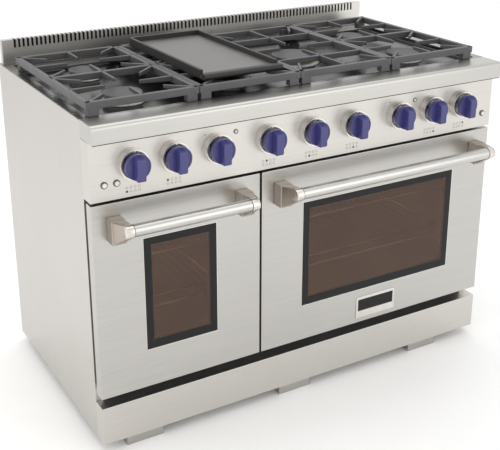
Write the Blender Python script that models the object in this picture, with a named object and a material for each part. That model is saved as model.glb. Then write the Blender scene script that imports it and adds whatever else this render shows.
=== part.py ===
"""Freestanding gas range: two ovens, seven burners with cast grates, and a lift-off griddle.

Metres, +Z up. The front faces -Y, the floor is Z = 0, and the origin is under the middle of the whole range.
Depths are measured forward from the back plane: y_at(0) is the back, y_at(BODY_DEPTH) the side panels' edge.
"""

import math

import bmesh
import bpy
from mathutils import Matrix, Vector

# Overall sizes
WIDTH = 1.214
BODY_DEPTH = 0.6205
COOKTOP_Z = 0.868
FOOT_HEIGHT = 0.028

# General clearances and sheet thicknesses
GAP = 0.0004
SHEET = 0.002
RETURN = 0.020

# Front rail, control panel, doors and kick panel, from the top down
RAIL_DEPTH = 0.0733
RAIL_HEIGHT = 0.0439
RAIL_RADIUS = 0.010
PANEL_PROUD = 0.0447
PANEL_HEIGHT = 0.1466
DOOR_THICKNESS = 0.030
DOOR_BODY_GAP = 0.0042
DOOR_TOP_GAP = 0.0075
DOOR_SPLIT_GAP = 0.0055
DOOR_KICK_GAP = 0.0275
LEFT_DOOR_WIDTH = 0.4495
KICK_HEIGHT = 0.1035
KICK_PROUD = 0.0425

# Doors
DOOR_EDGE_BEVEL = 0.0015
DOOR_HEEL_RADIUS = 0.012
INNER_PAN_DEPTH = 0.0095
INNER_PAN_INSET = 0.018
DOOR_SKIN = 0.004
WINDOW_SIDE_MARGIN = 0.1265
WINDOW_TOP_MARGIN = 0.1065
WINDOW_BOTTOM_MARGIN = 0.1044
GLASS_THICKNESS = 0.004
GLASS_PROUD = 0.0006
REBATE_WIDTH = 0.010
REBATE_DEPTH = 0.004
HINGE_RISE = 0.014
HINGE_DEPTH = 0.0195
HINGE_PIN_RADIUS = 0.004
HINGE_PIN_LENGTH = 0.024
HINGE_ARM_WIDTH = 0.010
HINGE_ARM_HEIGHT = 0.014
HINGE_INSET = 0.050
HINGE_CLEARANCE = 0.0015
DOOR_RANGE_DEG = 90

# Handles
HANDLE_STANDOFF = 0.0728
HANDLE_DROP = 0.046
HANDLE_RADIUS = 0.0152
COLLAR_RADIUS = 0.0168
COLLAR_WIDTH = 0.020
COLLAR_SOCKET = 0.012
BRACKET_WIDTH = 0.036
BRACKET_HEIGHT = 0.060
BRACKET_BLOCK = 0.033
BRACKET_EDGE_MARGIN = 0.0355
BRACKET_RISE = 0.0165

# Ovens
OVEN_SIDE_MARGIN = 0.060
OVEN_BOTTOM_RISE = 0.060
OVEN_TOP_DROP = 0.052
OVEN_DEPTH = 0.490
OVEN_WALL = 0.003
FRAME_THICKNESS = 0.010
RACK_LEVELS = (0.305, 0.672)
RACK_WIRE = 0.006
RACK_DEPTH = 0.430
RACK_SETBACK = 0.008
RACK_RUNG_PITCH = 0.045
RACK_SIDE_GAP = 0.004
RACK_STEP = 0.048
RUNNER_WIDTH = 0.012
RUNNER_HEIGHT = 0.006
RUNNER_BACK_GAP = 0.030

# Knobs and buttons, spread along the control panel as shares of its half width
KNOB_SPREAD = (-0.8254, -0.6524, -0.4613, -0.2208, -0.0099, 0.2010, 0.4481, 0.6326, 0.8072)
KNOB_RISE = 0.0813
BEZEL_RADIUS = 0.0378
BEZEL_WALL = 0.0075
BEZEL_PROUD = 0.0200
KNOB_RADIUS = 0.0315
KNOB_SKIRT = 0.0130
KNOB_STANDOFF = 0.0245
KNOB_FIN_WIDTH = 0.0210
KNOB_FIN_HEIGHT = 0.0200
KNOB_FIN_CHAMFER = 0.004
KNOB_STEM_RADIUS = 0.0040
KNOB_STEM_LENGTH = 0.055
STEM_CLEARANCE = 0.0015
PUNCH_REACH = 0.010
BUTTON_SPREAD = (-0.9423, -0.8912, 0.9506)
BUTTON_RISE = 0.0395
BUTTON_RADIUS = 0.0060
BUTTON_PROUD = 0.0050
BUTTON_TRAVEL = 0.003
BUTTON_FLANGE = 0.002
BUTTON_BODY = 0.006
BUTTON_CHAMFER = 0.001

# Gas manifold and its nine valves
MANIFOLD_RADIUS = 0.0107
VALVE_SIZE = (0.030, 0.034, 0.034)
INLET_INSET = 0.045

# Cooktop tray and backguard
TRAY_SIDE_MARGIN = 0.025
TRAY_FRONT_MARGIN = 0.0075
TRAY_BACK_MARGIN = 0.120
TRAY_RECESS = 0.012
BACKGUARD_HEIGHT = 0.0680
BACKGUARD_FRONT = 0.034
BACKGUARD_DEPTH = 0.018
BACKGUARD_END_INSET = 0.0035
SLOT_PITCH = 0.01247
SLOT_WIDTH = 0.0062
SLOT_DROP = 0.0225
SLOT_WRAP = 0.0155
SLOT_END_MARGIN = 0.030

# Grates and griddle
GRATE_SECTIONS = 4
GRATE_SECTION_GAP = 0.0012
GRATE_LEFT_MARGIN = 0.018
GRATE_RIGHT_MARGIN = 0.0425
GRATE_FRONT = 0.001
GRATE_BACK_MARGIN = 0.103
GRATE_HEIGHT = 0.0350
GRATE_BAR_WIDTH = 0.014
GRATE_BAR_DEPTH = 0.018
FINGER_WIDTH = 0.009
FINGER_DEPTH = 0.014
FINGER_CLEARANCE = 0.044
DIAGONAL_LENGTH = 0.095
GRATE_FOOT = (0.028, 0.020)
GRATE_FOOT_INSET = 0.004
GRATE_BAR_OVERLAP = 0.005
CORNER_OVERLAP = 0.007
GRIDDLE_WIDTH = 0.224
GRIDDLE_FRONT_INSET = 0.0325
GRIDDLE_BACK_INSET = 0.020
GRIDDLE_PLATE = 0.010
GRIDDLE_RIM_HEIGHT = 0.023
GRIDDLE_RIM_WIDTH = 0.009
GRIDDLE_BAR_HEIGHT = 0.016
GRIDDLE_BAR_DEPTH = 0.022
GRIDDLE_BAR_OVERLAP = 0.002

# Burners: base radius, head radius, cap radius
SIDE_BURNER = (0.047, 0.036, 0.041)
FRONT_BURNER = (0.056, 0.044, 0.049)
CENTRE_BURNER = (0.072, 0.058, 0.064)
BURNER_BASE_HEIGHT = 0.008
BURNER_HEAD_HEIGHT = 0.010
BURNER_CAP_HEIGHT = 0.006

# Feet
FOOT_WIDTH = 0.101
FOOT_DEPTH = 0.060
FOOT_LEFT_INSET = 0.065
FOOT_RIGHT_INSET = 0.140
FOOT_SETBACK = 0.008
FOOT_BACK_INSET = 0.030
BASE_PAN_HEIGHT = 0.018

SEGMENTS = 20

# Places worked out from the sizes above
HALF = WIDTH / 2
DOOR_FACE = BODY_DEPTH + DOOR_BODY_GAP + INNER_PAN_DEPTH + DOOR_THICKNESS
PANEL_FACE = BODY_DEPTH + PANEL_PROUD
OVERALL_DEPTH = DOOR_FACE + HANDLE_STANDOFF + COLLAR_RADIUS
BACK_Y = OVERALL_DEPTH / 2
RAIL_BOTTOM = COOKTOP_Z - RAIL_HEIGHT
PANEL_TOP = RAIL_BOTTOM - GAP
PANEL_BOTTOM = PANEL_TOP - PANEL_HEIGHT
DOOR_TOP = PANEL_BOTTOM - DOOR_TOP_GAP
KICK_TOP = FOOT_HEIGHT + KICK_HEIGHT
DOOR_BOTTOM = KICK_TOP + DOOR_KICK_GAP
DOOR_BACK = DOOR_FACE - DOOR_THICKNESS
HINGE_AXIS_DEPTH = BODY_DEPTH + HINGE_DEPTH
HINGE_Z = DOOR_BOTTOM + HINGE_RISE
HANDLE_Z = DOOR_TOP - HANDLE_DROP
OVEN_FLOOR = DOOR_BOTTOM + OVEN_BOTTOM_RISE
OVEN_CEILING = DOOR_TOP - OVEN_TOP_DROP
KNOB_Z = PANEL_BOTTOM + KNOB_RISE
BUTTON_Z = PANEL_BOTTOM + BUTTON_RISE
TRAY_FLOOR = COOKTOP_Z - TRAY_RECESS
GRATE_TOP = COOKTOP_Z + GRATE_HEIGHT
GRATE_FRONT_DEPTH = BODY_DEPTH + GRATE_FRONT
GRATE_CENTRE_DEPTH = (GRATE_FRONT_DEPTH + GRATE_BACK_MARGIN) / 2
GRATE_LENGTH = GRATE_FRONT_DEPTH - GRATE_BACK_MARGIN
BURNER_SPREAD = GRATE_LENGTH / 4
MANIFOLD_DEPTH = PANEL_FACE - KNOB_STEM_LENGTH + KNOB_STANDOFF - MANIFOLD_RADIUS - VALVE_SIZE[1]


def y_at(depth):
    """The Y of a point this far in front of the back plane."""
    return BACK_Y - depth


def clear_scene():
    for obj in list(bpy.data.objects):
        bpy.data.objects.remove(obj, do_unlink=True)


def linear(channel):
    return channel / 12.92 if channel <= 0.04045 else ((channel + 0.055) / 1.055) ** 2.4


def material(name, colour, metallic, roughness, alpha=1.0):
    """A Principled material from an sRGB hex colour."""
    made = bpy.data.materials.new(name)
    made.use_nodes = True
    shader = made.node_tree.nodes["Principled BSDF"]
    red, green, blue = (linear(int(colour[i : i + 2], 16) / 255) for i in (0, 2, 4))
    shader.inputs["Base Color"].default_value = (red, green, blue, 1)
    shader.inputs["Metallic"].default_value = metallic
    shader.inputs["Roughness"].default_value = roughness
    shader.inputs["Alpha"].default_value = alpha
    made.diffuse_color = (red, green, blue, alpha)
    return made


# Shapes, all made in world coordinates


def shape_object(bm, smooth=False):
    """An object from a bmesh, its points snapped to a micron so that level faces are exactly level."""
    for vertex in bm.verts:
        vertex.co = [round(value, 6) for value in vertex.co]
    bmesh.ops.recalc_face_normals(bm, faces=bm.faces)
    mesh = bpy.data.meshes.new("shape")
    bm.to_mesh(mesh)
    bm.free()
    if smooth:
        mesh.shade_smooth()
        mesh.set_sharp_from_angle(angle=math.radians(35))
    obj = bpy.data.objects.new("shape", mesh)
    bpy.context.scene.collection.objects.link(obj)
    return obj


def block(x_range, depth_range, z_range, bevel=0.0, segments=1):
    """A box between two X, two depths and two heights, with all its edges bevelled if asked."""
    bm = bmesh.new()
    size = (x_range[1] - x_range[0], depth_range[1] - depth_range[0], z_range[1] - z_range[0])
    middle = (sum(x_range) / 2, y_at(sum(depth_range) / 2), sum(z_range) / 2)
    bmesh.ops.create_cube(bm, size=1, matrix=Matrix.Translation(middle) @ Matrix.Diagonal((*size, 1)))
    if bevel:
        bmesh.ops.bevel(bm, geom=bm.edges[:], offset=bevel, segments=segments, profile=0.5, affect="EDGES")
    return shape_object(bm)


def prism(outline, x_range):
    """A side view of (depth, z) points, extruded along X."""
    bm = bmesh.new()
    face = bm.faces.new([bm.verts.new((x_range[0], y_at(d), z)) for d, z in outline])
    grown = bmesh.ops.extrude_face_region(bm, geom=[face])
    moved = [v for v in grown["geom"] if isinstance(v, bmesh.types.BMVert)]
    bmesh.ops.translate(bm, verts=moved, vec=(x_range[1] - x_range[0], 0, 0))
    return shape_object(bm)


def arc(centre, radius, start_deg, end_deg, steps):
    """Points of an arc in the (depth, z) side view."""
    turns = [math.radians(start_deg + (end_deg - start_deg) * i / steps) for i in range(steps + 1)]
    return [(centre[0] + radius * math.cos(t), centre[1] + radius * math.sin(t)) for t in turns]


def turned(profile, centre, axis, segments=SEGMENTS):
    """A profile of (radius, height) points, from the axis and back to it, spun round the axis."""
    bm = bmesh.new()
    points = [bm.verts.new((radius, 0, height)) for radius, height in profile]
    edges = [bm.edges.new(pair) for pair in zip(points, points[1:])]
    bmesh.ops.spin(
        bm, geom=points + edges, cent=(0, 0, 0), axis=(0, 0, 1), angle=math.tau, steps=segments, use_merge=True
    )
    bmesh.ops.remove_doubles(bm, verts=bm.verts, dist=0.00001)
    turn = Vector((0, 0, 1)).rotation_difference(Vector(axis)).to_matrix().to_4x4()
    bmesh.ops.transform(bm, matrix=Matrix.Translation(centre) @ turn, verts=bm.verts)
    return shape_object(bm, smooth=True)


def rod(start, end, radius, segments=SEGMENTS):
    """A round bar from one point to another."""
    start, end = Vector(start), Vector(end)
    length = (end - start).length
    return turned([(0, 0), (radius, 0), (radius, length), (0, length)], start, end - start, segments)


def bake(obj):
    """Turns the object's modifiers into its mesh."""
    graph = bpy.context.evaluated_depsgraph_get()
    mesh = bpy.data.meshes.new_from_object(obj.evaluated_get(graph))
    obj.modifiers.clear()
    obj.data = mesh
    return obj


def combine(obj, others, operation):
    for other in others:
        step = obj.modifiers.new("combine", "BOOLEAN")
        step.operation = operation
        step.solver = "EXACT"
        step.object = other
        bake(obj)
        bpy.data.objects.remove(other, do_unlink=True)
    return obj


def joined(obj, *others):
    return combine(obj, others, "UNION")


def cut(obj, *others):
    return combine(obj, others, "DIFFERENCE")


def finish(obj, name, look, origin=None, parent=None):
    """Names the object and moves its origin, leaving its surface where it is."""
    if origin is None:
        corners = [Vector(corner) for corner in obj.bound_box]
        origin = sum(corners, Vector()) / len(corners)
    origin = Vector(origin)
    obj.data.transform(Matrix.Translation(-origin))
    obj.location = origin
    obj.name = name
    obj.data.name = name
    obj.data.materials.clear()
    obj.data.materials.append(look)
    if parent:
        obj.parent = parent
        obj.location = origin - parent.location
    return obj


def copy_of(obj, name, origin, parent=None):
    """Another object with the same mesh, its origin at a new place."""
    twin = bpy.data.objects.new(name, obj.data)
    bpy.context.scene.collection.objects.link(twin)
    twin.location = Vector(origin)
    if parent:
        twin.parent = parent
        twin.location = Vector(origin) - parent.location
    return twin


def axis_empty(name, place):
    """Marks a joint's axis, and carries the pieces that move with it."""
    empty = bpy.data.objects.new(name, None)
    empty.empty_display_size = 0.05
    empty.location = place
    bpy.context.scene.collection.objects.link(empty)
    return empty


def open_box(x_range, depth_range, z_range, wall, open_side):
    """A folded sheet box with one side open: 'back', 'front', 'top', 'bottom', 'left' or 'right'."""
    outer = block(x_range, depth_range, z_range)
    x, d, z = ([low + wall, high - wall] for low, high in (x_range, depth_range, z_range))
    side, index = {
        "left": (x, 0),
        "right": (x, 1),
        "back": (d, 0),
        "front": (d, 1),
        "bottom": (z, 0),
        "top": (z, 1),
    }[open_side]
    side[index] += wall * (-3 if index == 0 else 3)
    return cut(outer, block(x, d, z))


# Cabinet


def side_panel(name, side, look):
    """A sheet side with its edges folded in, and a long flat face outside."""
    outer, inner = side * HALF, side * (HALF - RETURN)
    x_range = sorted((outer, inner))
    z_range = (FOOT_HEIGHT, COOKTOP_Z - SHEET - GAP)
    depths = (SHEET + GAP, BODY_DEPTH)
    panel = open_box(x_range, depths, z_range, SHEET, "right" if side < 0 else "left")
    finish(panel, name, look)


def rear_panel(look):
    x_range = (-HALF + 0.0005, HALF - 0.0005)
    panel = block(x_range, (0, SHEET), (FOOT_HEIGHT, COOKTOP_Z - SHEET - GAP))
    inlet = rod(
        (HALF - RETURN - INLET_INSET, y_at(-SHEET), KNOB_Z),
        (HALF - RETURN - INLET_INSET, y_at(3 * SHEET), KNOB_Z),
        2 * MANIFOLD_RADIUS,
        16,
    )
    finish(cut(panel, inlet), "rear_panel", look)


def base_pan(look):
    inside = HALF - RETURN - GAP
    z_range = (FOOT_HEIGHT + SHEET, FOOT_HEIGHT + SHEET + BASE_PAN_HEIGHT)
    depths = (SHEET + GAP, BODY_DEPTH - FRAME_THICKNESS - GAP)
    finish(open_box((-inside, inside), depths, z_range, SHEET, "top"), "base_pan", look)


def oven_ranges():
    """The X range of each oven's mouth, tied to its door."""
    return {
        "left": (-HALF + OVEN_SIDE_MARGIN, -HALF + LEFT_DOOR_WIDTH - OVEN_SIDE_MARGIN),
        "right": (-HALF + LEFT_DOOR_WIDTH + DOOR_SPLIT_GAP + OVEN_SIDE_MARGIN, HALF - OVEN_SIDE_MARGIN),
    }


def front_frame(look):
    """The dark plate behind the doors, with the two oven mouths."""
    inside = HALF - RETURN - GAP
    depths = (BODY_DEPTH - FRAME_THICKNESS, BODY_DEPTH)
    frame = block((-inside, inside), depths, (FOOT_HEIGHT + SHEET, PANEL_BOTTOM - GAP))
    for x_range in oven_ranges().values():
        past = (depths[0] - SHEET, depths[1] + SHEET)
        cut(frame, block(x_range, past, (OVEN_FLOOR, OVEN_CEILING)))
    finish(frame, "front_frame", look)


def oven_liner(name, x_range, look):
    """An enamelled box open at the front, with a pair of runners for each rack."""
    front = BODY_DEPTH - FRAME_THICKNESS - GAP
    outer_x = (x_range[0] - OVEN_WALL, x_range[1] + OVEN_WALL)
    outer_z = (OVEN_FLOOR - OVEN_WALL, OVEN_CEILING + OVEN_WALL)
    liner = open_box(outer_x, (front - OVEN_DEPTH, front), outer_z, OVEN_WALL, "front")
    for level in RACK_LEVELS:
        top = rack_z(level) - RACK_WIRE / 2 - GAP
        run = (front - OVEN_DEPTH + RUNNER_BACK_GAP, front - RACK_SETBACK)
        for wall, inward in ((x_range[0], 1), (x_range[1], -1)):
            x = sorted((wall - inward * OVEN_WALL / 2, wall + inward * RUNNER_WIDTH))
            joined(liner, block(x, run, (top - RUNNER_HEIGHT, top)))
    finish(liner, name, look)


def rack_z(level):
    return OVEN_FLOOR + level * (OVEN_CEILING - OVEN_FLOOR)


def oven_rack(name, x_range, level, look):
    """A wire shelf: a frame of square-section wire, with rungs from front to back."""
    z_range = (rack_z(level) - RACK_WIRE / 2, rack_z(level) + RACK_WIRE / 2)
    left, right = x_range[0] + RACK_SIDE_GAP, x_range[1] - RACK_SIDE_GAP
    front = BODY_DEPTH - FRAME_THICKNESS - GAP - RACK_SETBACK
    back = front - RACK_DEPTH
    rack = block((left, right), (back, back + RACK_WIRE), z_range)
    sides = ((left, left + RACK_WIRE), (right - RACK_WIRE, right))
    crossbars = [(d - RACK_WIRE, d) for d in (front, front - RACK_STEP)]
    pieces = [block(x, (back, front), z_range) for x in sides]
    pieces += [block((left, right), depths, z_range) for depths in crossbars]
    rungs = int((right - left - 2 * RACK_WIRE) / RACK_RUNG_PITCH)
    pitch = (right - left - RACK_WIRE) / (rungs + 1)
    thin = RACK_WIRE / 4
    for i in range(1, rungs + 1):
        middle = left + RACK_WIRE / 2 + i * pitch
        x = (middle - RACK_WIRE / 3, middle + RACK_WIRE / 3)
        pieces.append(block(x, (back + thin, front - thin), (z_range[0] + thin, z_range[1] - thin)))
    finish(joined(rack, *pieces), name, look)


def foot(name, x_range, depth_range, look):
    """A folded box leg under the base pan."""
    leg = block(x_range, depth_range, (0, FOOT_HEIGHT + SHEET - GAP), bevel=0.001)
    finish(leg, name, look)


def feet(look):
    left = -HALF + FOOT_LEFT_INSET
    right = HALF - FOOT_RIGHT_INSET - FOOT_WIDTH
    front = BODY_DEPTH + KICK_PROUD - FOOT_SETBACK
    front_range = (front - FOOT_DEPTH, front)
    back_range = (FOOT_BACK_INSET, FOOT_BACK_INSET + FOOT_DEPTH)
    for name, x in (("left", left), ("middle", (left + right) / 2), ("right", right)):
        foot(f"foot_front_{name}", (x, x + FOOT_WIDTH), front_range, look)
    for name, x in (("left", left), ("right", HALF - FOOT_LEFT_INSET - FOOT_WIDTH)):
        foot(f"foot_rear_{name}", (x, x + FOOT_WIDTH), back_range, look)


def kick_panel(look):
    depths = (BODY_DEPTH + GAP, BODY_DEPTH + KICK_PROUD)
    panel = open_box((-HALF, HALF), depths, (FOOT_HEIGHT, KICK_TOP), SHEET, "back")
    notch_depths = (depths[0] - SHEET, depths[1] - FOOT_SETBACK + GAP)
    for x_range in foot_front_ranges():
        cut(panel, block(x_range, notch_depths, (0, FOOT_HEIGHT + 2 * SHEET)))
    finish(panel, "kick_panel", look)


def foot_front_ranges():
    """The X ranges, with clearance, where the front feet pass through the kick panel's lower flange."""
    left = -HALF + FOOT_LEFT_INSET
    right = HALF - FOOT_RIGHT_INSET - FOOT_WIDTH
    return [(x - GAP, x + FOOT_WIDTH + GAP) for x in (left, (left + right) / 2, right)]


# Front rail, control panel, knobs, buttons and manifold


def front_rail(look):
    """The bullnose: a hollow folded rail with closed ends, open at the back."""
    back, front = BODY_DEPTH + GAP, BODY_DEPTH + RAIL_DEPTH
    centre = (front - RAIL_RADIUS, COOKTOP_Z - RAIL_RADIUS)
    outline = [(back, RAIL_BOTTOM), (front, RAIL_BOTTOM)]
    outline += arc(centre, RAIL_RADIUS, 0, 90, 6)
    outline += [(back, COOKTOP_Z)]
    inner_radius = RAIL_RADIUS - SHEET
    hollow = [(back - SHEET, RAIL_BOTTOM + SHEET), (front - SHEET, RAIL_BOTTOM + SHEET)]
    hollow += arc(centre, inner_radius, 0, 90, 6)
    hollow += [(back - SHEET, COOKTOP_Z - SHEET)]
    rail = cut(prism(outline, (-HALF, HALF)), prism(hollow, (-HALF + SHEET, HALF - SHEET)))
    finish(rail, "front_rail", look)


def knob_places():
    return [share * HALF for share in KNOB_SPREAD]


def button_places():
    return [share * HALF for share in BUTTON_SPREAD]


def punch(x, z, radius, sides):
    """A round cutter through the panel's face."""
    start, end = (x, y_at(PANEL_FACE - PUNCH_REACH), z), (x, y_at(PANEL_FACE + PUNCH_REACH), z)
    return rod(start, end, radius, sides)


def control_panel(look):
    """A folded panel with a round bezel for each knob, and holes for the stems and push buttons."""
    depths = (BODY_DEPTH + GAP, PANEL_FACE)
    panel = open_box((-HALF, HALF), depths, (PANEL_BOTTOM, PANEL_TOP), SHEET, "back")
    inner = BEZEL_RADIUS - BEZEL_WALL
    ring = [(inner, -SHEET / 2), (BEZEL_RADIUS, -SHEET / 2), (BEZEL_RADIUS, BEZEL_PROUD)]
    ring += [(inner, BEZEL_PROUD), (inner, -SHEET / 2)]
    for x in knob_places():
        joined(panel, turned(ring, (x, y_at(PANEL_FACE), KNOB_Z), (0, -1, 0)))
        cut(panel, punch(x, KNOB_Z, KNOB_STEM_RADIUS + STEM_CLEARANCE, 8))
    for x in button_places():
        cut(panel, punch(x, BUTTON_Z, BUTTON_RADIUS + GAP, 12))
    finish(panel, "control_panel", look)


def knob(look):
    """A skirt, a grip fin with a sloping top end, and the stem, about the stem's axis."""
    profile = [(0, 0), (KNOB_STEM_RADIUS, 0), (KNOB_STEM_RADIUS, KNOB_STEM_LENGTH)]
    skirt_top = KNOB_STEM_LENGTH + KNOB_SKIRT
    profile += [(KNOB_RADIUS, KNOB_STEM_LENGTH), (KNOB_RADIUS, skirt_top), (0, skirt_top)]
    skirt_face = PANEL_FACE + KNOB_STANDOFF + KNOB_SKIRT
    stem_back = skirt_face - skirt_top
    body = turned(profile, (0, y_at(stem_back), KNOB_Z), (0, -1, 0))
    reach = KNOB_RADIUS - GAP
    root, face = skirt_face - KNOB_FIN_CHAMFER, skirt_face + KNOB_FIN_HEIGHT
    low, high = KNOB_Z - reach, KNOB_Z + reach - KNOB_FIN_CHAMFER
    outline = [
        (root, low),
        (face - KNOB_FIN_CHAMFER, low),
        (face, low + KNOB_FIN_CHAMFER),
        (face, KNOB_Z + 0.6 * reach),
        (skirt_face + KNOB_FIN_CHAMFER, high),
        (root, high),
    ]
    fin = prism(outline, (-KNOB_FIN_WIDTH / 2, KNOB_FIN_WIDTH / 2))
    return finish(joined(body, fin), "knob", look, origin=(0, y_at(PANEL_FACE), KNOB_Z))


def knobs(look):
    names = (
        "knob_left_front",
        "knob_left_rear",
        "knob_left_oven",
        "knob_griddle_rear",
        "knob_griddle_front",
        "knob_centre",
        "knob_right_oven",
        "knob_right_front",
        "knob_right_rear",
    )
    first = knob(look)
    for name, x in zip(names, knob_places()):
        copy_of(first, name, (x, y_at(PANEL_FACE), KNOB_Z))
    bpy.data.objects.remove(first, do_unlink=True)


def push_button(name, x, look):
    flange, back = BUTTON_RADIUS + BUTTON_FLANGE, -SHEET - GAP - BUTTON_TRAVEL / 2
    profile = [(0, back - BUTTON_BODY), (flange, back - BUTTON_BODY), (flange, back), (BUTTON_RADIUS, back)]
    profile += [(BUTTON_RADIUS, BUTTON_PROUD - BUTTON_CHAMFER)]
    profile += [(BUTTON_RADIUS - BUTTON_CHAMFER, BUTTON_PROUD), (0, BUTTON_PROUD)]
    button = turned(profile, (x, y_at(PANEL_FACE), BUTTON_Z), (0, -1, 0), 12)
    finish(button, name, look, origin=(x, y_at(PANEL_FACE), BUTTON_Z))


def gas_manifold(look):
    """The pipe behind the panel, a valve for each knob's stem, and the run back to the gas inlet."""
    inlet_x = HALF - RETURN - INLET_INSET
    left_x = knob_places()[0] - VALVE_SIZE[0] / 2
    pipe_y = y_at(MANIFOLD_DEPTH)
    manifold = rod((left_x, pipe_y, KNOB_Z), (inlet_x + MANIFOLD_RADIUS, pipe_y, KNOB_Z), MANIFOLD_RADIUS, 12)
    run_back = rod((inlet_x, pipe_y, KNOB_Z), (inlet_x, y_at(0.001), KNOB_Z), 0.9 * MANIFOLD_RADIUS, 12)
    joined(manifold, run_back)
    stem_back = PANEL_FACE + KNOB_STANDOFF - KNOB_STEM_LENGTH
    for x in knob_places():
        x_range = (x - VALVE_SIZE[0] / 2, x + VALVE_SIZE[0] / 2)
        z_range = (KNOB_Z - VALVE_SIZE[2] / 2, KNOB_Z + VALVE_SIZE[2] / 2)
        joined(manifold, block(x_range, (MANIFOLD_DEPTH, stem_back - GAP), z_range))
    finish(manifold, "gas_manifold", look)


# Doors


def door_shell(side, x_range, hinge_xs, look, empty):
    """A double-skinned door: an outer pan, an inner pan, and a window opening through both."""
    z_range = (DOOR_BOTTOM, DOOR_TOP)
    shell = block(x_range, (DOOR_BACK, DOOR_FACE), z_range, bevel=DOOR_EDGE_BEVEL)
    inset_x = (x_range[0] + INNER_PAN_INSET, x_range[1] - INNER_PAN_INSET)
    inset_z = (z_range[0] + INNER_PAN_INSET, z_range[1] - INNER_PAN_INSET)
    joined(shell, block(inset_x, (DOOR_BACK - INNER_PAN_DEPTH, DOOR_BACK + SHEET), inset_z))
    heel_outline = [(DOOR_BACK - SHEET, DOOR_BOTTOM - SHEET)]
    heel_outline += [(DOOR_BACK + DOOR_HEEL_RADIUS, DOOR_BOTTOM - SHEET)]
    centre = (DOOR_BACK + DOOR_HEEL_RADIUS, DOOR_BOTTOM + DOOR_HEEL_RADIUS)
    heel_outline += arc(centre, DOOR_HEEL_RADIUS, 270, 180, 5)
    heel_outline += [(DOOR_BACK - SHEET, DOOR_BOTTOM + DOOR_HEEL_RADIUS)]
    cut(shell, prism(heel_outline, (x_range[0] - SHEET, x_range[1] + SHEET)))
    inset = INNER_PAN_INSET + DOOR_SKIN
    hollow_x = (x_range[0] + inset, x_range[1] - inset)
    hollow_z = (z_range[0] + INNER_PAN_INSET + inset, z_range[1] - inset)
    cut(shell, block(hollow_x, (DOOR_BACK - INNER_PAN_DEPTH + SHEET, DOOR_FACE - SHEET), hollow_z))
    window_x, window_z = window_ranges(x_range)
    ledge_x = (window_x[0] - GAP - 2 * SHEET, window_x[1] + GAP + 2 * SHEET)
    ledge_z = (window_z[0] - GAP - 2 * SHEET, window_z[1] + GAP + 2 * SHEET)
    ledge_back = DOOR_FACE + GLASS_PROUD - GLASS_THICKNESS - GAP - REBATE_DEPTH
    joined(shell, block(ledge_x, (ledge_back, DOOR_FACE - SHEET / 2), ledge_z))
    seat_x = (window_x[0] - GAP, window_x[1] + GAP)
    seat_z = (window_z[0] - GAP, window_z[1] + GAP)
    cut(shell, block(seat_x, (ledge_back + REBATE_DEPTH, DOOR_FACE + SHEET), seat_z))
    through_x = (window_x[0] + REBATE_WIDTH, window_x[1] - REBATE_WIDTH)
    through_z = (window_z[0] + REBATE_WIDTH, window_z[1] - REBATE_WIDTH)
    cut(shell, block(through_x, (DOOR_BACK - INNER_PAN_DEPTH - SHEET, DOOR_FACE + SHEET), through_z))
    for x in hinge_xs:
        pocket_half = HINGE_ARM_WIDTH / 2 + HINGE_CLEARANCE
        pocket_front = HINGE_AXIS_DEPTH + HINGE_ARM_HEIGHT / 2 + HINGE_CLEARANCE
        pocket_depths = (DOOR_BACK - INNER_PAN_DEPTH - SHEET, pocket_front)
        pocket_top = HINGE_Z + HINGE_ARM_HEIGHT / 2 + HINGE_CLEARANCE
        cut(shell, block((x - pocket_half, x + pocket_half), pocket_depths, (DOOR_BOTTOM - SHEET, pocket_top)))
        half_pin = HINGE_PIN_LENGTH / 2 + GAP
        ends = [(x + s * half_pin, y_at(HINGE_AXIS_DEPTH), HINGE_Z) for s in (-1, 1)]
        cut(shell, rod(*ends, HINGE_PIN_RADIUS + GAP, 16))
    finish(shell, f"door_shell_{side}", look, parent=empty)


def window_ranges(x_range):
    return (
        (x_range[0] + WINDOW_SIDE_MARGIN, x_range[1] - WINDOW_SIDE_MARGIN),
        (DOOR_BOTTOM + WINDOW_BOTTOM_MARGIN, DOOR_TOP - WINDOW_TOP_MARGIN),
    )


def door_glass(side, x_range, look, empty):
    window_x, window_z = window_ranges(x_range)
    front = DOOR_FACE + GLASS_PROUD
    pane = block(window_x, (front - GLASS_THICKNESS, front), window_z, bevel=0.0005)
    finish(pane, f"door_glass_{side}", look, parent=empty)


def handle_bracket(name, outer_x, inward, look, empty):
    """A cast bracket: a block on the door, drawn in to a collar that holds the end of the bar."""
    face = DOOR_FACE + GAP
    axis = (DOOR_FACE + HANDLE_STANDOFF, HANDLE_Z)
    middle_z = HANDLE_Z - BRACKET_RISE
    top, bottom = middle_z + BRACKET_HEIGHT / 2, middle_z - BRACKET_HEIGHT / 2
    outline = [(face, bottom), (face + BRACKET_BLOCK, bottom)]
    outline += [(axis[0] - COLLAR_RADIUS / 2, axis[1] - 0.98 * COLLAR_RADIUS)]
    outline += arc(axis, COLLAR_RADIUS, -80, 90, 8)
    outline += [(face + BRACKET_BLOCK, top), (face, top)]
    bracket = prism(outline, sorted((outer_x, outer_x + inward * BRACKET_WIDTH)))
    taper = BRACKET_WIDTH - COLLAR_WIDTH
    neck = HANDLE_STANDOFF - COLLAR_RADIUS - BRACKET_BLOCK
    for vertex in bracket.data.vertices:
        forward = (BACK_Y - vertex.co.y - face - BRACKET_BLOCK) / neck
        forward = max(0.0, min(1.0, forward))
        if abs(vertex.co.x - outer_x) < 1e-6:
            vertex.co.x += inward * taper * forward
    inner_face = outer_x + inward * BRACKET_WIDTH
    centre = Vector((inner_face, y_at(axis[0]), axis[1]))
    socket = rod(centre + Vector((inward * 0.002, 0, 0)), centre - Vector((inward * COLLAR_SOCKET, 0, 0)),
                 HANDLE_RADIUS + GAP)
    finish(cut(bracket, socket), name, look, parent=empty)


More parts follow.
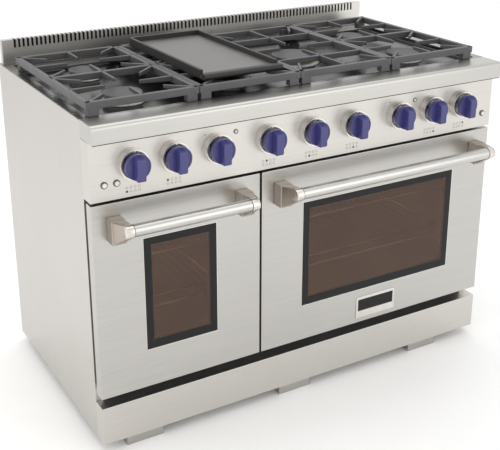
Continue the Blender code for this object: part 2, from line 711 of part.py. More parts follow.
def handle(side, x_range, steel, cast, empty):
    outer_left = x_range[0] + BRACKET_EDGE_MARGIN
    outer_right = x_range[1] - BRACKET_EDGE_MARGIN
    handle_bracket(f"handle_bracket_left_{side}", outer_left, 1, cast, empty)
    handle_bracket(f"handle_bracket_right_{side}", outer_right, -1, cast, empty)
    reach = BRACKET_WIDTH - COLLAR_SOCKET + GAP
    y = y_at(DOOR_FACE + HANDLE_STANDOFF)
    bar = rod((outer_left + reach, y, HANDLE_Z), (outer_right - reach, y, HANDLE_Z), HANDLE_RADIUS)
    finish(bar, f"handle_bar_{side}", steel, parent=empty)


def door_hinge(name, x, look):
    """A bracket on the front frame whose cross pin the door turns on."""
    arm_x = (x - HINGE_ARM_WIDTH / 2, x + HINGE_ARM_WIDTH / 2)
    z_range = (HINGE_Z - HINGE_ARM_HEIGHT / 2, HINGE_Z + HINGE_ARM_HEIGHT / 2)
    back = BODY_DEPTH + GAP
    outline = [(back, z_range[0])]
    outline += arc((HINGE_AXIS_DEPTH, HINGE_Z), HINGE_ARM_HEIGHT / 2, -90, 90, 8)
    outline += [(back, z_range[1])]
    arm = prism(outline, arm_x)
    ends = [(x + s * HINGE_PIN_LENGTH / 2, y_at(HINGE_AXIS_DEPTH), HINGE_Z) for s in (-1, 1)]
    pin = rod(*ends, HINGE_PIN_RADIUS, 16)
    finish(joined(arm, pin), name, look, origin=(x, y_at(HINGE_AXIS_DEPTH), HINGE_Z))


def doors(steel, glass, cast, zinc):
    spans = {
        "left": (-HALF, -HALF + LEFT_DOOR_WIDTH),
        "right": (-HALF + LEFT_DOOR_WIDTH + DOOR_SPLIT_GAP, HALF),
    }
    for side, x_range in spans.items():
        middle = sum(x_range) / 2
        empty = axis_empty(f"door_{side}_axis", (middle, y_at(HINGE_AXIS_DEPTH), HINGE_Z))
        hinge_xs = (x_range[0] + HINGE_INSET, x_range[1] - HINGE_INSET)
        door_shell(side, x_range, hinge_xs, steel, empty)
        door_glass(side, x_range, glass, empty)
        handle(side, x_range, steel, cast, empty)
        for end, x in zip(("left", "right"), hinge_xs):
            door_hinge(f"door_hinge_{end}_{side}", x, zinc)


# Cooktop


def cooktop_tray(look):
    """The pressed top: a ledge all round, and a shallow recess that the burners stand in."""
    depths = (SHEET + GAP, BODY_DEPTH)
    tray = block((-HALF, HALF), depths, (COOKTOP_Z - SHEET, COOKTOP_Z))
    inner_x = (-HALF + TRAY_SIDE_MARGIN, HALF - TRAY_SIDE_MARGIN)
    inner_d = (TRAY_BACK_MARGIN, BODY_DEPTH - TRAY_FRONT_MARGIN)
    pan_x = (inner_x[0] - SHEET, inner_x[1] + SHEET)
    pan_d = (inner_d[0] - SHEET, inner_d[1] + SHEET)
    joined(tray, block(pan_x, pan_d, (TRAY_FLOOR - SHEET, COOKTOP_Z - SHEET / 2)))
    cut(tray, block(inner_x, inner_d, (TRAY_FLOOR, COOKTOP_Z + SHEET)))
    finish(tray, "cooktop_tray", look)


def backguard(look):
    """A low hollow guard with a row of vent slots that run down from its top."""
    end = HALF - BACKGUARD_END_INSET
    top = COOKTOP_Z + BACKGUARD_HEIGHT
    depths = (BACKGUARD_FRONT - BACKGUARD_DEPTH, BACKGUARD_FRONT)
    guard = open_box((-end, end), depths, (COOKTOP_Z + GAP, top), SHEET, "bottom")
    row = 2 * end - 2 * SLOT_END_MARGIN
    count = int(row / SLOT_PITCH) + 1
    first = -(count - 1) * SLOT_PITCH / 2
    x = (first - SLOT_WIDTH / 2, first + SLOT_WIDTH / 2)
    slots = block(x, (BACKGUARD_FRONT - SLOT_WRAP, BACKGUARD_FRONT + SHEET), (top - SLOT_DROP, top + SHEET))
    repeat = slots.modifiers.new("row", "ARRAY")
    repeat.count = count
    repeat.use_relative_offset = False
    repeat.use_constant_offset = True
    repeat.constant_offset_displace = (SLOT_PITCH, 0, 0)
    finish(cut(guard, bake(slots)), "backguard", look)


def grate_ranges():
    """The X range of each grate section, from left to right."""
    left, right = -HALF + GRATE_LEFT_MARGIN, HALF - GRATE_RIGHT_MARGIN
    width = (right - left - (GRATE_SECTIONS - 1) * GRATE_SECTION_GAP) / GRATE_SECTIONS
    starts = [left + i * (width + GRATE_SECTION_GAP) for i in range(GRATE_SECTIONS)]
    return [(start, start + width) for start in starts]


def finger(start, end, width=FINGER_WIDTH):
    """A straight bar along the top of the grate, between two (x, depth) points."""
    start, end = Vector((start[0], y_at(start[1]))), Vector((end[0], y_at(end[1])))
    along = end - start
    bm = bmesh.new()
    middle = ((start + end) / 2).to_3d() + Vector((0, 0, GRATE_TOP - FINGER_DEPTH / 2))
    turn = Matrix.Rotation(math.atan2(along.y, along.x), 4, "Z")
    size = Matrix.Diagonal((along.length, width, FINGER_DEPTH, 1))
    bmesh.ops.create_cube(bm, size=1, matrix=Matrix.Translation(middle) @ turn @ size)
    return shape_object(bm)


def grate_frame(x_range):
    """The outer bars and the four feet of a grate section."""
    z_range = (GRATE_TOP - GRATE_BAR_DEPTH, GRATE_TOP)
    depths = (GRATE_BACK_MARGIN, GRATE_FRONT_DEPTH)
    left, right = x_range
    frame = block((left, left + GRATE_BAR_WIDTH), depths, z_range)
    pieces = [block((right - GRATE_BAR_WIDTH, right), depths, z_range)]
    pieces += [block(x_range, (depths[0], depths[0] + GRATE_BAR_WIDTH), z_range)]
    pieces += [block(x_range, (depths[1] - GRATE_BAR_WIDTH, depths[1]), z_range)]
    left, right = left + GRATE_FOOT_INSET, right - GRATE_FOOT_INSET
    back, front = depths[0] + SHEET / 2, depths[1] - SHEET / 2
    for x in ((left, left + GRATE_FOOT[0]), (right - GRATE_FOOT[0], right)):
        for d in ((back, back + GRATE_FOOT[1]), (front - GRATE_FOOT[1], front)):
            pieces.append(block(x, d, (COOKTOP_Z + GAP, GRATE_TOP - GRATE_BAR_DEPTH / 2)))
    return frame, pieces


def corner_fingers(x_range, depth_range, length):
    """Four diagonals from the corners of a cell towards its middle."""
    middle = Vector((sum(x_range) / 2, sum(depth_range) / 2))
    found = []
    for x in x_range:
        for d in depth_range:
            corner = Vector((x, d))
            inward = (middle - corner).normalized()
            found.append(finger(corner + CORNER_OVERLAP * inward, corner + length * inward))
    return found


def pair_grate(name, x_range, look, empty):
    """A section over two burners, one behind the other."""
    frame, pieces = grate_frame(x_range)
    left, right = x_range[0] + GRATE_BAR_OVERLAP, x_range[1] - GRATE_BAR_OVERLAP
    middle = sum(x_range) / 2
    back, front = GRATE_BACK_MARGIN + GRATE_BAR_OVERLAP, GRATE_FRONT_DEPTH - GRATE_BAR_OVERLAP
    pieces.append(finger((left, GRATE_CENTRE_DEPTH), (right, GRATE_CENTRE_DEPTH), GRATE_BAR_WIDTH))
    burner_depths = (GRATE_CENTRE_DEPTH - BURNER_SPREAD, GRATE_CENTRE_DEPTH + BURNER_SPREAD)
    for depth in burner_depths:
        pieces.append(finger((left, depth), (middle - FINGER_CLEARANCE, depth)))
        pieces.append(finger((middle + FINGER_CLEARANCE, depth), (right, depth)))
        cell = (depth - BURNER_SPREAD, depth + BURNER_SPREAD)
        pieces += corner_fingers(x_range, cell, DIAGONAL_LENGTH)
    pieces.append(finger((middle, back), (middle, burner_depths[0] - FINGER_CLEARANCE)))
    pieces.append(
        finger((middle, burner_depths[0] + FINGER_CLEARANCE), (middle, burner_depths[1] - FINGER_CLEARANCE))
    )
    pieces.append(finger((middle, burner_depths[1] + FINGER_CLEARANCE), (middle, front)))
    grate = joined(frame, *pieces)
    finish(grate, name, look, origin=empty.location, parent=empty)


def centre_grate(name, x_range, look, empty):
    """The section over the single large burner, with two full cross bars."""
    frame, pieces = grate_frame(x_range)
    left, right = x_range[0] + GRATE_BAR_OVERLAP, x_range[1] - GRATE_BAR_OVERLAP
    middle = sum(x_range) / 2
    for depth in (GRATE_CENTRE_DEPTH - BURNER_SPREAD, GRATE_CENTRE_DEPTH + BURNER_SPREAD):
        pieces.append(finger((left, depth), (right, depth)))
    pieces.append(finger((left, GRATE_CENTRE_DEPTH), (middle - FINGER_CLEARANCE, GRATE_CENTRE_DEPTH)))
    pieces.append(finger((middle + FINGER_CLEARANCE, GRATE_CENTRE_DEPTH), (right, GRATE_CENTRE_DEPTH)))
    back, front = GRATE_BACK_MARGIN + GRATE_BAR_OVERLAP, GRATE_FRONT_DEPTH - GRATE_BAR_OVERLAP
    pieces.append(finger((middle, back), (middle, GRATE_CENTRE_DEPTH - FINGER_CLEARANCE)))
    pieces.append(finger((middle, GRATE_CENTRE_DEPTH + FINGER_CLEARANCE), (middle, front)))
    pieces += corner_fingers(x_range, (GRATE_BACK_MARGIN, GRATE_FRONT_DEPTH), DIAGONAL_LENGTH)
    grate = joined(frame, *pieces)
    finish(grate, name, look, origin=empty.location, parent=empty)


def grates(iron, steel):
    names = ("grate_left", "grate_griddle", "grate_centre", "grate_right")
    for name, x_range in zip(names, grate_ranges()):
        empty = axis_empty(f"{name}_axis", (sum(x_range) / 2, y_at(GRATE_CENTRE_DEPTH), COOKTOP_Z))
        if name == "grate_centre":
            centre_grate(name, x_range, iron, empty)
        else:
            pair_grate(name, x_range, iron, empty)
        if name == "grate_griddle":
            griddle(sum(x_range) / 2, steel, empty)


def griddle(middle, look, empty):
    """A flat plate with raised back and side rims and a rounded front bar."""
    z = GRATE_TOP + GAP
    x_range = (middle - GRIDDLE_WIDTH / 2, middle + GRIDDLE_WIDTH / 2)
    back, front = GRATE_BACK_MARGIN + GRIDDLE_BACK_INSET, GRATE_FRONT_DEPTH - GRIDDLE_FRONT_INSET
    plate = block(x_range, (back, front - GRIDDLE_BAR_DEPTH / 2), (z, z + GRIDDLE_PLATE))
    rim_z = (z, z + GRIDDLE_RIM_HEIGHT)
    bar_back = front - GRIDDLE_BAR_DEPTH
    pieces = [block(x_range, (back, back + GRIDDLE_RIM_WIDTH), rim_z)]
    pieces += [block((x_range[0], x_range[0] + GRIDDLE_RIM_WIDTH), (back, bar_back), rim_z)]
    pieces += [block((x_range[1] - GRIDDLE_RIM_WIDTH, x_range[1]), (back, bar_back), rim_z)]
    radius = GRIDDLE_BAR_HEIGHT / 2
    outline = [(bar_back - GRIDDLE_BAR_OVERLAP, z), (front - radius, z)]
    outline += arc((front - radius, z + radius), radius, -90, 90, 8)[1:]
    outline += [(bar_back - GRIDDLE_BAR_OVERLAP, z + GRIDDLE_BAR_HEIGHT)]
    pieces.append(prism(outline, (x_range[0] + GAP / 2, x_range[1] - GAP / 2)))
    finish(joined(plate, *pieces), "griddle_plate", look, origin=empty.location, parent=empty)


def burner(name, x, depth, sizes, look):
    """A burner base, its head and its cap, turned about the middle."""
    base, head, cap = sizes
    z = BURNER_BASE_HEIGHT
    top = z + BURNER_HEAD_HEIGHT
    profile = [(0, 0), (base, 0), (base, z), (head, z), (head, top), (cap, top)]
    profile += [(cap, top + BURNER_CAP_HEIGHT), (0, top + BURNER_CAP_HEIGHT)]
    made = turned(profile, (x, y_at(depth), TRAY_FLOOR + GAP), (0, 0, 1), 16)
    finish(made, name, look, origin=(x, y_at(depth), TRAY_FLOOR))


def burners(look):
    left, griddle_side, centre, right = (sum(x_range) / 2 for x_range in grate_ranges())
    back, front = GRATE_CENTRE_DEPTH - BURNER_SPREAD, GRATE_CENTRE_DEPTH + BURNER_SPREAD
    burner("burner_left_front", left, front, FRONT_BURNER, look)
    burner("burner_left_rear", left, back, SIDE_BURNER, look)
    burner("burner_griddle_front", griddle_side, front, SIDE_BURNER, look)
    burner("burner_griddle_rear", griddle_side, back, SIDE_BURNER, look)
    burner("burner_centre", centre, GRATE_CENTRE_DEPTH, CENTRE_BURNER, look)
    burner("burner_right_front", right, front, FRONT_BURNER, look)
    burner("burner_right_rear", right, back, SIDE_BURNER, look)


def build():
    clear_scene()
    steel = material("stainless_steel", "C9C6C1", 1.0, 0.32)
    cast = material("nickel_casting", "A39A90", 1.0, 0.38)
    enamel = material("black_enamel", "17171A", 0.0, 0.25)
    iron = material("cast_iron", "4A4A4B", 0.3, 0.6)
    griddle_steel = material("griddle_steel", "8A8886", 0.8, 0.45)
    chrome = material("chromed_wire", "B8B4AE", 1.0, 0.2)
    blue = material("blue_plastic", "46448A", 0.0, 0.4)
    glass = material("tinted_glass", "3A2E28", 0.0, 0.05, 0.5)
    zinc = material("zinc_plated_steel", "9A9A98", 1.0, 0.45)
    brass = material("brass", "B08D4C", 1.0, 0.4)
    rubber = material("button_plastic", "E4E1DC", 0.0, 0.4)

    side_panel("side_panel_left", -1, steel)
    side_panel("side_panel_right", 1, steel)
    rear_panel(zinc)
    base_pan(zinc)
    front_frame(enamel)
    kick_panel(steel)
    feet(steel)
    front_rail(steel)
    control_panel(steel)
    gas_manifold(brass)
    knobs(blue)
    for name, x in zip(("button_light", "button_igniter", "button_oven"), button_places()):
        push_button(name, x, rubber)
    for side, x_range in oven_ranges().items():
        oven_liner(f"oven_liner_{side}", x_range, enamel)
        for place, level in zip(("lower", "upper"), RACK_LEVELS):
            oven_rack(f"rack_{place}_{side}", x_range, level, chrome)
    doors(steel, glass, cast, zinc)
    cooktop_tray(enamel)
    backguard(steel)
    grates(iron, griddle_steel)
    burners(iron)


build()
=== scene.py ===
import math

import bpy
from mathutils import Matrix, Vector


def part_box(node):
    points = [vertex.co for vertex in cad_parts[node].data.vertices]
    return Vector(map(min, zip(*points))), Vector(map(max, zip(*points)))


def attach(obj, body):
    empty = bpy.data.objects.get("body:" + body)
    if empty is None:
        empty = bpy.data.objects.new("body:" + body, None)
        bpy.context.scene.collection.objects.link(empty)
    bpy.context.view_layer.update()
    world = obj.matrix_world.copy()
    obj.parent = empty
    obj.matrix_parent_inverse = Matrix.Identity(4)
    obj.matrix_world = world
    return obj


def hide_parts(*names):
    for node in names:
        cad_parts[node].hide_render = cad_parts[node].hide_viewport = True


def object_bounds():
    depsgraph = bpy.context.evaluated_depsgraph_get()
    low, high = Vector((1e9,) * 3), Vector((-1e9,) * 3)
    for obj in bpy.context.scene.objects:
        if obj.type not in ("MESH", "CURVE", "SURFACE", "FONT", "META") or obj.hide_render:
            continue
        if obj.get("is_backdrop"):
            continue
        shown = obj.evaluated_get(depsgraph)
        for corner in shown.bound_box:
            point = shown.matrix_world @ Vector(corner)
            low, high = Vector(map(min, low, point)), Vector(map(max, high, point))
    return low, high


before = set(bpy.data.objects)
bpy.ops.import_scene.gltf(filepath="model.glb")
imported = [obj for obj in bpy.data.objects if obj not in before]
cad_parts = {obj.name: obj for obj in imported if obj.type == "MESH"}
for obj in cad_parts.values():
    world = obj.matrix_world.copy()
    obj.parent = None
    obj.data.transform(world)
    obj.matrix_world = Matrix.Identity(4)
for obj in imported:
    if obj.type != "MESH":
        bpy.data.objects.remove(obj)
cad_low, cad_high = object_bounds()


# The view. The range is seen from its left front corner and from above. The camera looks down at it
# from just under 3 m away and isn't rolled, so the front's lines run together only a little.
CAMERA_TURN = math.radians(30.25)
CAMERA_TILT = math.radians(19.1)
bpy.ops.object.camera_add(
    location=(-1.304, cad_high.y - 2.5797, 1.4906),
    rotation=(math.pi / 2 - CAMERA_TILT, 0, -CAMERA_TURN),
)
camera = bpy.context.object
camera.data.lens = 68.5
camera.data.shift_y = -0.14
camera.data.clip_end = 200
bpy.context.scene.camera = camera
bpy.context.scene.view_settings.view_transform = "Standard"


# The studio. A wide pale floor, and a pale room all round it that brushed steel can reflect.
# Large soft lamps stand at the left, in front and overhead, and the one in front is the strongest.
def linear(colour):
    """An sRGB hex colour as linear red, green, blue and alpha."""
    parts = [int(colour[i : i + 2], 16) / 255 for i in (0, 2, 4)]
    return [p / 12.92 if p <= 0.04045 else ((p + 0.055) / 1.055) ** 2.4 for p in parts] + [1.0]


def add(tree, kind, settings=None, links=None, **options):
    """Adds a node with its options, its sockets' values and its links from other nodes' outputs."""
    made = tree.nodes.new(kind)
    for name, value in options.items():
        setattr(made, name, value)
    for socket, value in (settings or {}).items():
        made.inputs[socket].default_value = value
    for socket, (source, output) in (links or {}).items():
        tree.links.new(source.outputs[output], made.inputs[socket])
    return made


def start_material(name, settings):
    """A new material with its Principled shader's own values set, as (material, node tree, shader)."""
    made = bpy.data.materials.new(name)
    made.use_nodes = True
    shader = made.node_tree.nodes["Principled BSDF"]
    for socket, value in settings.items():
        shader.inputs[socket].default_value = value
    return made, made.node_tree, shader


def patchy(name, settings, colours, patch, detail=2.0, gloss=None, relief=None):
    """A finish that wanders between two colours in patches of one size; gloss and surface may wander too."""
    made, tree, shader = start_material(name, settings)
    place = add(tree, "ShaderNodeTexCoord")
    marks = add(
        tree, "ShaderNodeTexNoise", {"Scale": 1 / patch, "Detail": detail}, {"Vector": (place, "Object")}
    )
    tone = add(tree, "ShaderNodeValToRGB", None, {"Fac": (marks, "Fac")})
    for stop, colour in zip(tone.color_ramp.elements, colours):
        stop.color = linear(colour)
    tree.links.new(tone.outputs["Color"], shader.inputs["Base Color"])
    if gloss:
        limits = {"To Min": gloss[0], "To Max": gloss[1]}
        spread = add(tree, "ShaderNodeMapRange", limits, {"Value": (marks, "Fac")})
        tree.links.new(spread.outputs["Result"], shader.inputs["Roughness"])
    if relief:
        bump = {"Strength": relief[0], "Distance": relief[1]}
        raised = add(tree, "ShaderNodeBump", bump, {"Height": (marks, "Fac")})
        tree.links.new(raised.outputs["Normal"], shader.inputs["Normal"])
    return made


def deselect():
    bpy.ops.object.select_all(action="DESELECT")


# Matt painted floor: pale, with a faint mottling about a hand wide.
floor_paint = patchy("floor_matt_paint", {"Roughness": 0.75}, ("F8F8F7", "FCFCFB"), 0.09)

deselect()
bpy.ops.mesh.primitive_plane_add(size=60, location=(0, 0, 0))
floor = bpy.context.object
floor.name = "studio_floor"
floor.data.materials.append(floor_paint)
floor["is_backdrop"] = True

world = bpy.data.worlds.new("studio_room")
bpy.context.scene.world = world
world.use_nodes = True
room = world.node_tree.nodes["Background"]
room.inputs["Color"].default_value = linear("FAFAFA")
room.inputs["Strength"].default_value = 1.08


def soft_lamp(name, place, aim, size, power, colour):
    """A large square lamp that faces a point."""
    bpy.ops.object.light_add(type="AREA", location=place)
    lamp = bpy.context.object
    lamp.name = name
    lamp.rotation_mode = "QUATERNION"
    lamp.rotation_quaternion = (Vector(aim) - Vector(place)).to_track_quat("-Z", "Y")
    lamp.data.size = size
    lamp.data.energy = power
    lamp.data.color = linear(colour)[:3]
    return lamp


soft_lamp("lamp_left", (-3.8, -0.2, 1.6), (0, 0, 0.5), 3.2, 32, "FFF9F3")
soft_lamp("lamp_front", (2.0, -4.2, 1.6), (0.2, 0, 0.6), 3.2, 34, "FFFEFB")
soft_lamp("lamp_top", (0.2, 0.6, 3.4), (0, 0, 0.9), 3.4, 26, "FFFFFF")


# The casing. Both sides are folded pans of stainless sheet about a millimetre thick, ground and then
# brushed, with the grain running up and down. The casing's other panels are made of the same sheet.
GRAIN_SPACING = 0.0022  # real brush marks are ten times finer, and wouldn't show
GRAIN_LENGTH = 0.16


def brushed_steel(name, colours, roughness, grain, relief_depth=0.00001):
    """Brushed stainless: streaks of slightly different tone and gloss, over slow waves from rolling."""
    made, tree, shader = start_material(name, {"Metallic": 1.0})
    place = add(tree, "ShaderNodeTexCoord")
    scale = [1 / step for step in grain]
    along = add(tree, "ShaderNodeMapping", {"Scale": scale}, {"Vector": (place, "Object")})
    marks = add(tree, "ShaderNodeTexNoise", {"Scale": 1.0, "Detail": 3.0}, {"Vector": (along, "Vector")})
    slow = add(tree, "ShaderNodeTexNoise", {"Scale": 1 / 0.4, "Detail": 1.0}, {"Vector": (place, "Object")})
    mixed = add(
        tree,
        "ShaderNodeMath",
        {1: 0.35},
        {0: (slow, "Fac"), 2: (marks, "Fac")},
        operation="MULTIPLY_ADD",
    )
    tone = add(tree, "ShaderNodeValToRGB", None, {"Fac": (mixed, "Value")})
    tone.color_ramp.elements[0].position = 0.35
    tone.color_ramp.elements[0].color = linear(colours[0])
    tone.color_ramp.elements[1].position = 0.95
    tone.color_ramp.elements[1].color = linear(colours[1])
    gloss = add(
        tree,
        "ShaderNodeMapRange",
        {"To Min": roughness - 0.03, "To Max": roughness + 0.03},
        {"Value": (marks, "Fac")},
    )
    relief = add(
        tree, "ShaderNodeBump", {"Strength": 0.25, "Distance": relief_depth}, {"Height": (marks, "Fac")}
    )
    tree.links.new(tone.outputs["Color"], shader.inputs["Base Color"])
    tree.links.new(gloss.outputs["Result"], shader.inputs["Roughness"])
    tree.links.new(relief.outputs["Normal"], shader.inputs["Normal"])
    return made


# Ground sheet with upright marks: a pale grey sheen without any clear reflection.
steel_upright = brushed_steel(
    "stainless_sheet_brushed_upright",
    ("C2BFBB", "CCC9C5"),
    0.38,
    (GRAIN_SPACING, GRAIN_SPACING, GRAIN_LENGTH),
)
# The same sheet with its marks level, for the doors and the rail.
steel_level = brushed_steel(
    "stainless_sheet_brushed_level",
    ("B9B7B3", "C3C1BD"),
    0.34,
    (GRAIN_LENGTH, GRAIN_SPACING, GRAIN_SPACING),
)


# The same sheet painted paler, for the panels that a cook looks at: the extra paleness is painted light.
steel_painted_lighter = brushed_steel(
    "stainless_sheet_brushed_painted_light",
    ("C6C3BE", "D0CDC8"),
    0.36,
    (GRAIN_LENGTH, GRAIN_SPACING, GRAIN_SPACING),
)


def block(low, high):
    """A plain block between two corners, with its place in its mesh."""
    deselect()
    low, high = Vector(low), Vector(high)
    bpy.ops.mesh.primitive_cube_add(size=1, location=(low + high) / 2, scale=high - low)
    bpy.ops.object.transform_apply(location=True, rotation=True, scale=True)
    return bpy.context.object


def use_modifier(piece, kind, **settings):
    """Adds a modifier, sets it and applies it."""
    deselect()
    piece.select_set(True)
    bpy.context.view_layer.objects.active = piece
    bpy.ops.object.modifier_add(type=kind)
    modifier = piece.modifiers[-1]
    for name, value in settings.items():
        setattr(modifier, name, value)
    bpy.ops.object.modifier_apply(modifier=modifier.name)


def smoothed(angle=50):
    """Shades the piece just made as round, apart from edges sharper than an angle in degrees."""
    bpy.ops.object.shade_smooth_by_angle(angle=math.radians(angle))


def rounded(piece, width, segments=2, angle=30):
    """Rounds the sharp edges, and keeps the flat faces looking flat."""
    use_modifier(
        piece,
        "BEVEL",
        width=width,
        segments=segments,
        limit_method="ANGLE",
        angle_limit=math.radians(angle),
        use_clamp_overlap=True,
        miter_outer="MITER_ARC",
    )
    smoothed()
    use_modifier(piece, "WEIGHTED_NORMAL", keep_sharp=True)
    return piece


def cut(piece, *cutters):
    """Takes the cutters' shapes out of the piece, and removes the cutters."""
    for cutter in cutters:
        use_modifier(piece, "BOOLEAN", operation="DIFFERENCE", solver="EXACT", object=cutter)
        bpy.data.objects.remove(cutter, do_unlink=True)
    return piece


def joined(pieces):
    """Makes several objects one."""
    deselect()
    for piece in pieces:
        piece.select_set(True)
    bpy.context.view_layer.objects.active = pieces[0]
    bpy.ops.object.join()
    return bpy.context.object


def fixed(piece, name, look, body="root", stands_for=()):
    """Names a finished piece, gives it its finish, and fixes it to the body that it moves with."""
    piece.name = name
    piece.data.name = name
    piece.data.materials.clear()
    piece.data.materials.append(look)
    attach(piece, body)
    if stands_for:
        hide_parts(*stands_for)
    return piece


def dress(node, look):
    """Gives a CAD node its finish."""
    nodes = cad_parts
    nodes[node].data.materials.clear()
    nodes[node].data.materials.append(look)


FOLD_RADIUS = 0.0016
SHEET = 0.002
for side, inward in (("left", 1), ("right", -1)):
    low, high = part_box(f"side_panel_{side}")
    wall = Vector((SHEET, SHEET, SHEET))
    hollow = block(low + wall, high - wall)
    bpy.ops.transform.translate(value=(inward * 2 * SHEET, 0, 0))
    panel = rounded(cut(block(low, high), hollow), FOLD_RADIUS, angle=60)
    fixed(panel, f"casing_side_{side}", steel_upright, stands_for=[f"side_panel_{side}"])


# The back and the base. Both are zinc-coated steel sheet, left unpainted because nobody sees them,
# and the back is held by a line of pan-head screws down each edge.
# Zinc coating: its crystals show as paler and darker flakes about a fingernail wide.
zinc_sheet, tree, shader = start_material("zinc_coated_steel_sheet", {"Metallic": 1.0})
place = add(tree, "ShaderNodeTexCoord")
spangle = add(tree, "ShaderNodeTexVoronoi", {"Scale": 1 / 0.009}, {"Vector": (place, "Object")})
tone = add(tree, "ShaderNodeValToRGB", None, {"Fac": (spangle, "Color")})
tone.color_ramp.elements[0].color = linear("9C9F9F")
tone.color_ramp.elements[1].color = linear("BFC2C1")
gloss = add(tree, "ShaderNodeMapRange", {"To Min": 0.38, "To Max": 0.55}, {"Value": (spangle, "Distance")})
tree.links.new(tone.outputs["Color"], shader.inputs["Base Color"])
tree.links.new(gloss.outputs["Result"], shader.inputs["Roughness"])
dress("base_pan", zinc_sheet)


def spun(profile, centre, axis, steps=48):
    """A turned shape: a point is drawn out along (radius, height) stops and spun round the axis."""
    deselect()
    bpy.ops.mesh.primitive_plane_add(size=0.001, location=(0, 0, 0))
    piece = bpy.context.object
    bpy.ops.object.mode_set(mode="EDIT")
    bpy.ops.mesh.select_mode(type="VERT")
    bpy.ops.mesh.merge(type="CENTER")
    bpy.ops.transform.translate(value=(profile[0][0], 0, profile[0][1]))
    for (radius, height), (next_radius, next_height) in zip(profile, profile[1:]):
        step = (next_radius - radius, 0, next_height - height)
        bpy.ops.mesh.extrude_vertices_move(TRANSFORM_OT_translate={"value": step})
    bpy.ops.mesh.select_all(action="SELECT")
    bpy.ops.mesh.spin(steps=steps, angle=math.tau, center=(0, 0, 0), axis=(0, 0, 1))
    bpy.ops.mesh.select_all(action="SELECT")
    bpy.ops.mesh.remove_doubles(threshold=0.00001)
    bpy.ops.mesh.normals_make_consistent(inside=False)
    bpy.ops.object.mode_set(mode="OBJECT")
    piece.rotation_mode = "QUATERNION"
    piece.rotation_quaternion = Vector((0, 0, 1)).rotation_difference(Vector(axis))
    piece.location = centre
    bpy.ops.object.transform_apply(location=True, rotation=True, scale=True)
    return piece


def copied(piece, shift):
    """A copy of a piece, with a mesh of its own, moved along a vector."""
    deselect()
    piece.select_set(True)
    bpy.context.view_layer.objects.active = piece
    bpy.ops.object.duplicate(linked=False)
    bpy.ops.transform.translate(value=shift)
    bpy.ops.object.transform_apply(location=True, rotation=True, scale=True)
    return bpy.context.object


SCREW_HEAD = 0.0042
SCREW_INSET = 0.010
SCREW_END = 0.04
SCREWS_PER_EDGE = 7
DIMPLE = 0.0012
PIPE_RADIUS = 0.0107
INLET_HOLE = 2 * PIPE_RADIUS
VALVE_HEIGHT = 0.034
rear_low, rear_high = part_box("rear_panel")
dome = [(0, 0), (SCREW_HEAD, 0), (SCREW_HEAD, 0.0004), (0.0034, 0.0008), (0, 0.0009)]
cone = [(0, 0), (SCREW_HEAD + 0.001, 0), (SCREW_HEAD + 0.002, 2 * DIMPLE), (0, 2 * DIMPLE)]
first = Vector((rear_low.x + SCREW_INSET, rear_high.y - DIMPLE, rear_low.z + SCREW_END))
screws = [spun(dome, first + Vector((0, 0.0002, 0)), (0, 1, 0), 16)]
dimples = [spun(cone, first, (0, 1, 0), 16)]
across = rear_high.x - rear_low.x - 2 * SCREW_INSET
pitch = (rear_high.z - rear_low.z - 2 * SCREW_END) / (SCREWS_PER_EDGE - 1)
shifts = [(x, 0, i * pitch) for x in (0, across) for i in range(SCREWS_PER_EDGE)]
for shift in shifts[1:]:
    screws.append(copied(screws[0], shift))
    dimples.append(copied(dimples[0], shift))
pipe_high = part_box("gas_manifold")[1]
inlet = (pipe_high.x - PIPE_RADIUS, rear_low.y - 0.01, pipe_high.z - VALVE_HEIGHT / 2)
bore = [(0, 0), (INLET_HOLE, 0), (INLET_HOLE, 0.02), (0, 0.02)]
dimples.append(spun(bore, inlet, (0, 1, 0), 32))
rear = rounded(cut(block(rear_low, rear_high), joined(dimples)), 0.0002, 1, angle=60)
fixed(rear, "rear_sheet", zinc_sheet, stands_for=["rear_panel"])
fixed(rounded(joined(screws), 0.0002, 1), "rear_panel_screws", zinc_sheet)


# The feet. Each is a wide stainless channel folded from sheet and open behind.
# It is bolted under the base.
# Sheet as it comes from the mill: greyer and duller.
steel_dull = brushed_steel(
    "stainless_sheet_mill_finish", ("ABA8A4", "B8B5B1"), 0.42, (0.02, 0.02, GRAIN_SPACING)
)
for name in ("front_left", "front_middle", "front_right", "rear_left", "rear_right"):
    low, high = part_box(f"foot_{name}")
    hollow = block(low + Vector((SHEET, SHEET, -SHEET)), high + Vector((-SHEET, SHEET, -SHEET)))
    channel = rounded(cut(block(low, high), hollow), 0.001, angle=60)
    fixed(channel, f"channel_foot_{name}", steel_dull, stands_for=[f"foot_{name}"])


# The ovens. Each liner is pressed sheet with a speckled brown porcelain enamel baked on at about 800
# degrees, and the frame in front of the two is enamelled plain black. A lamp glows in each back wall.
# Speckled enamel: brown with small pale dots, and fairly shiny.
oven_enamel, tree, shader = start_material("porcelain_enamel_speckled", {"Roughness": 0.32})
place = add(tree, "ShaderNodeTexCoord")
specks = add(tree, "ShaderNodeTexVoronoi", {"Scale": 1 / 0.006}, {"Vector": (place, "Object")})
tone = add(tree, "ShaderNodeValToRGB", None, {"Fac": (specks, "Distance")})
tone.color_ramp.elements[0].position = 0.10
tone.color_ramp.elements[0].color = linear("A08A7A")
tone.color_ramp.elements[1].position = 0.20
tone.color_ramp.elements[1].color = linear("6E5546")
tree.links.new(tone.outputs["Color"], shader.inputs["Base Color"])

# Matt black enamel: nearly black, with a faint orange peel.
frame_enamel = patchy(
    "porcelain_enamel_black_matt", {"Roughness": 0.42}, ("1B1B1C", "242425"), 0.004, relief=(0.15, 0.0002)
)
dress("front_frame", frame_enamel)

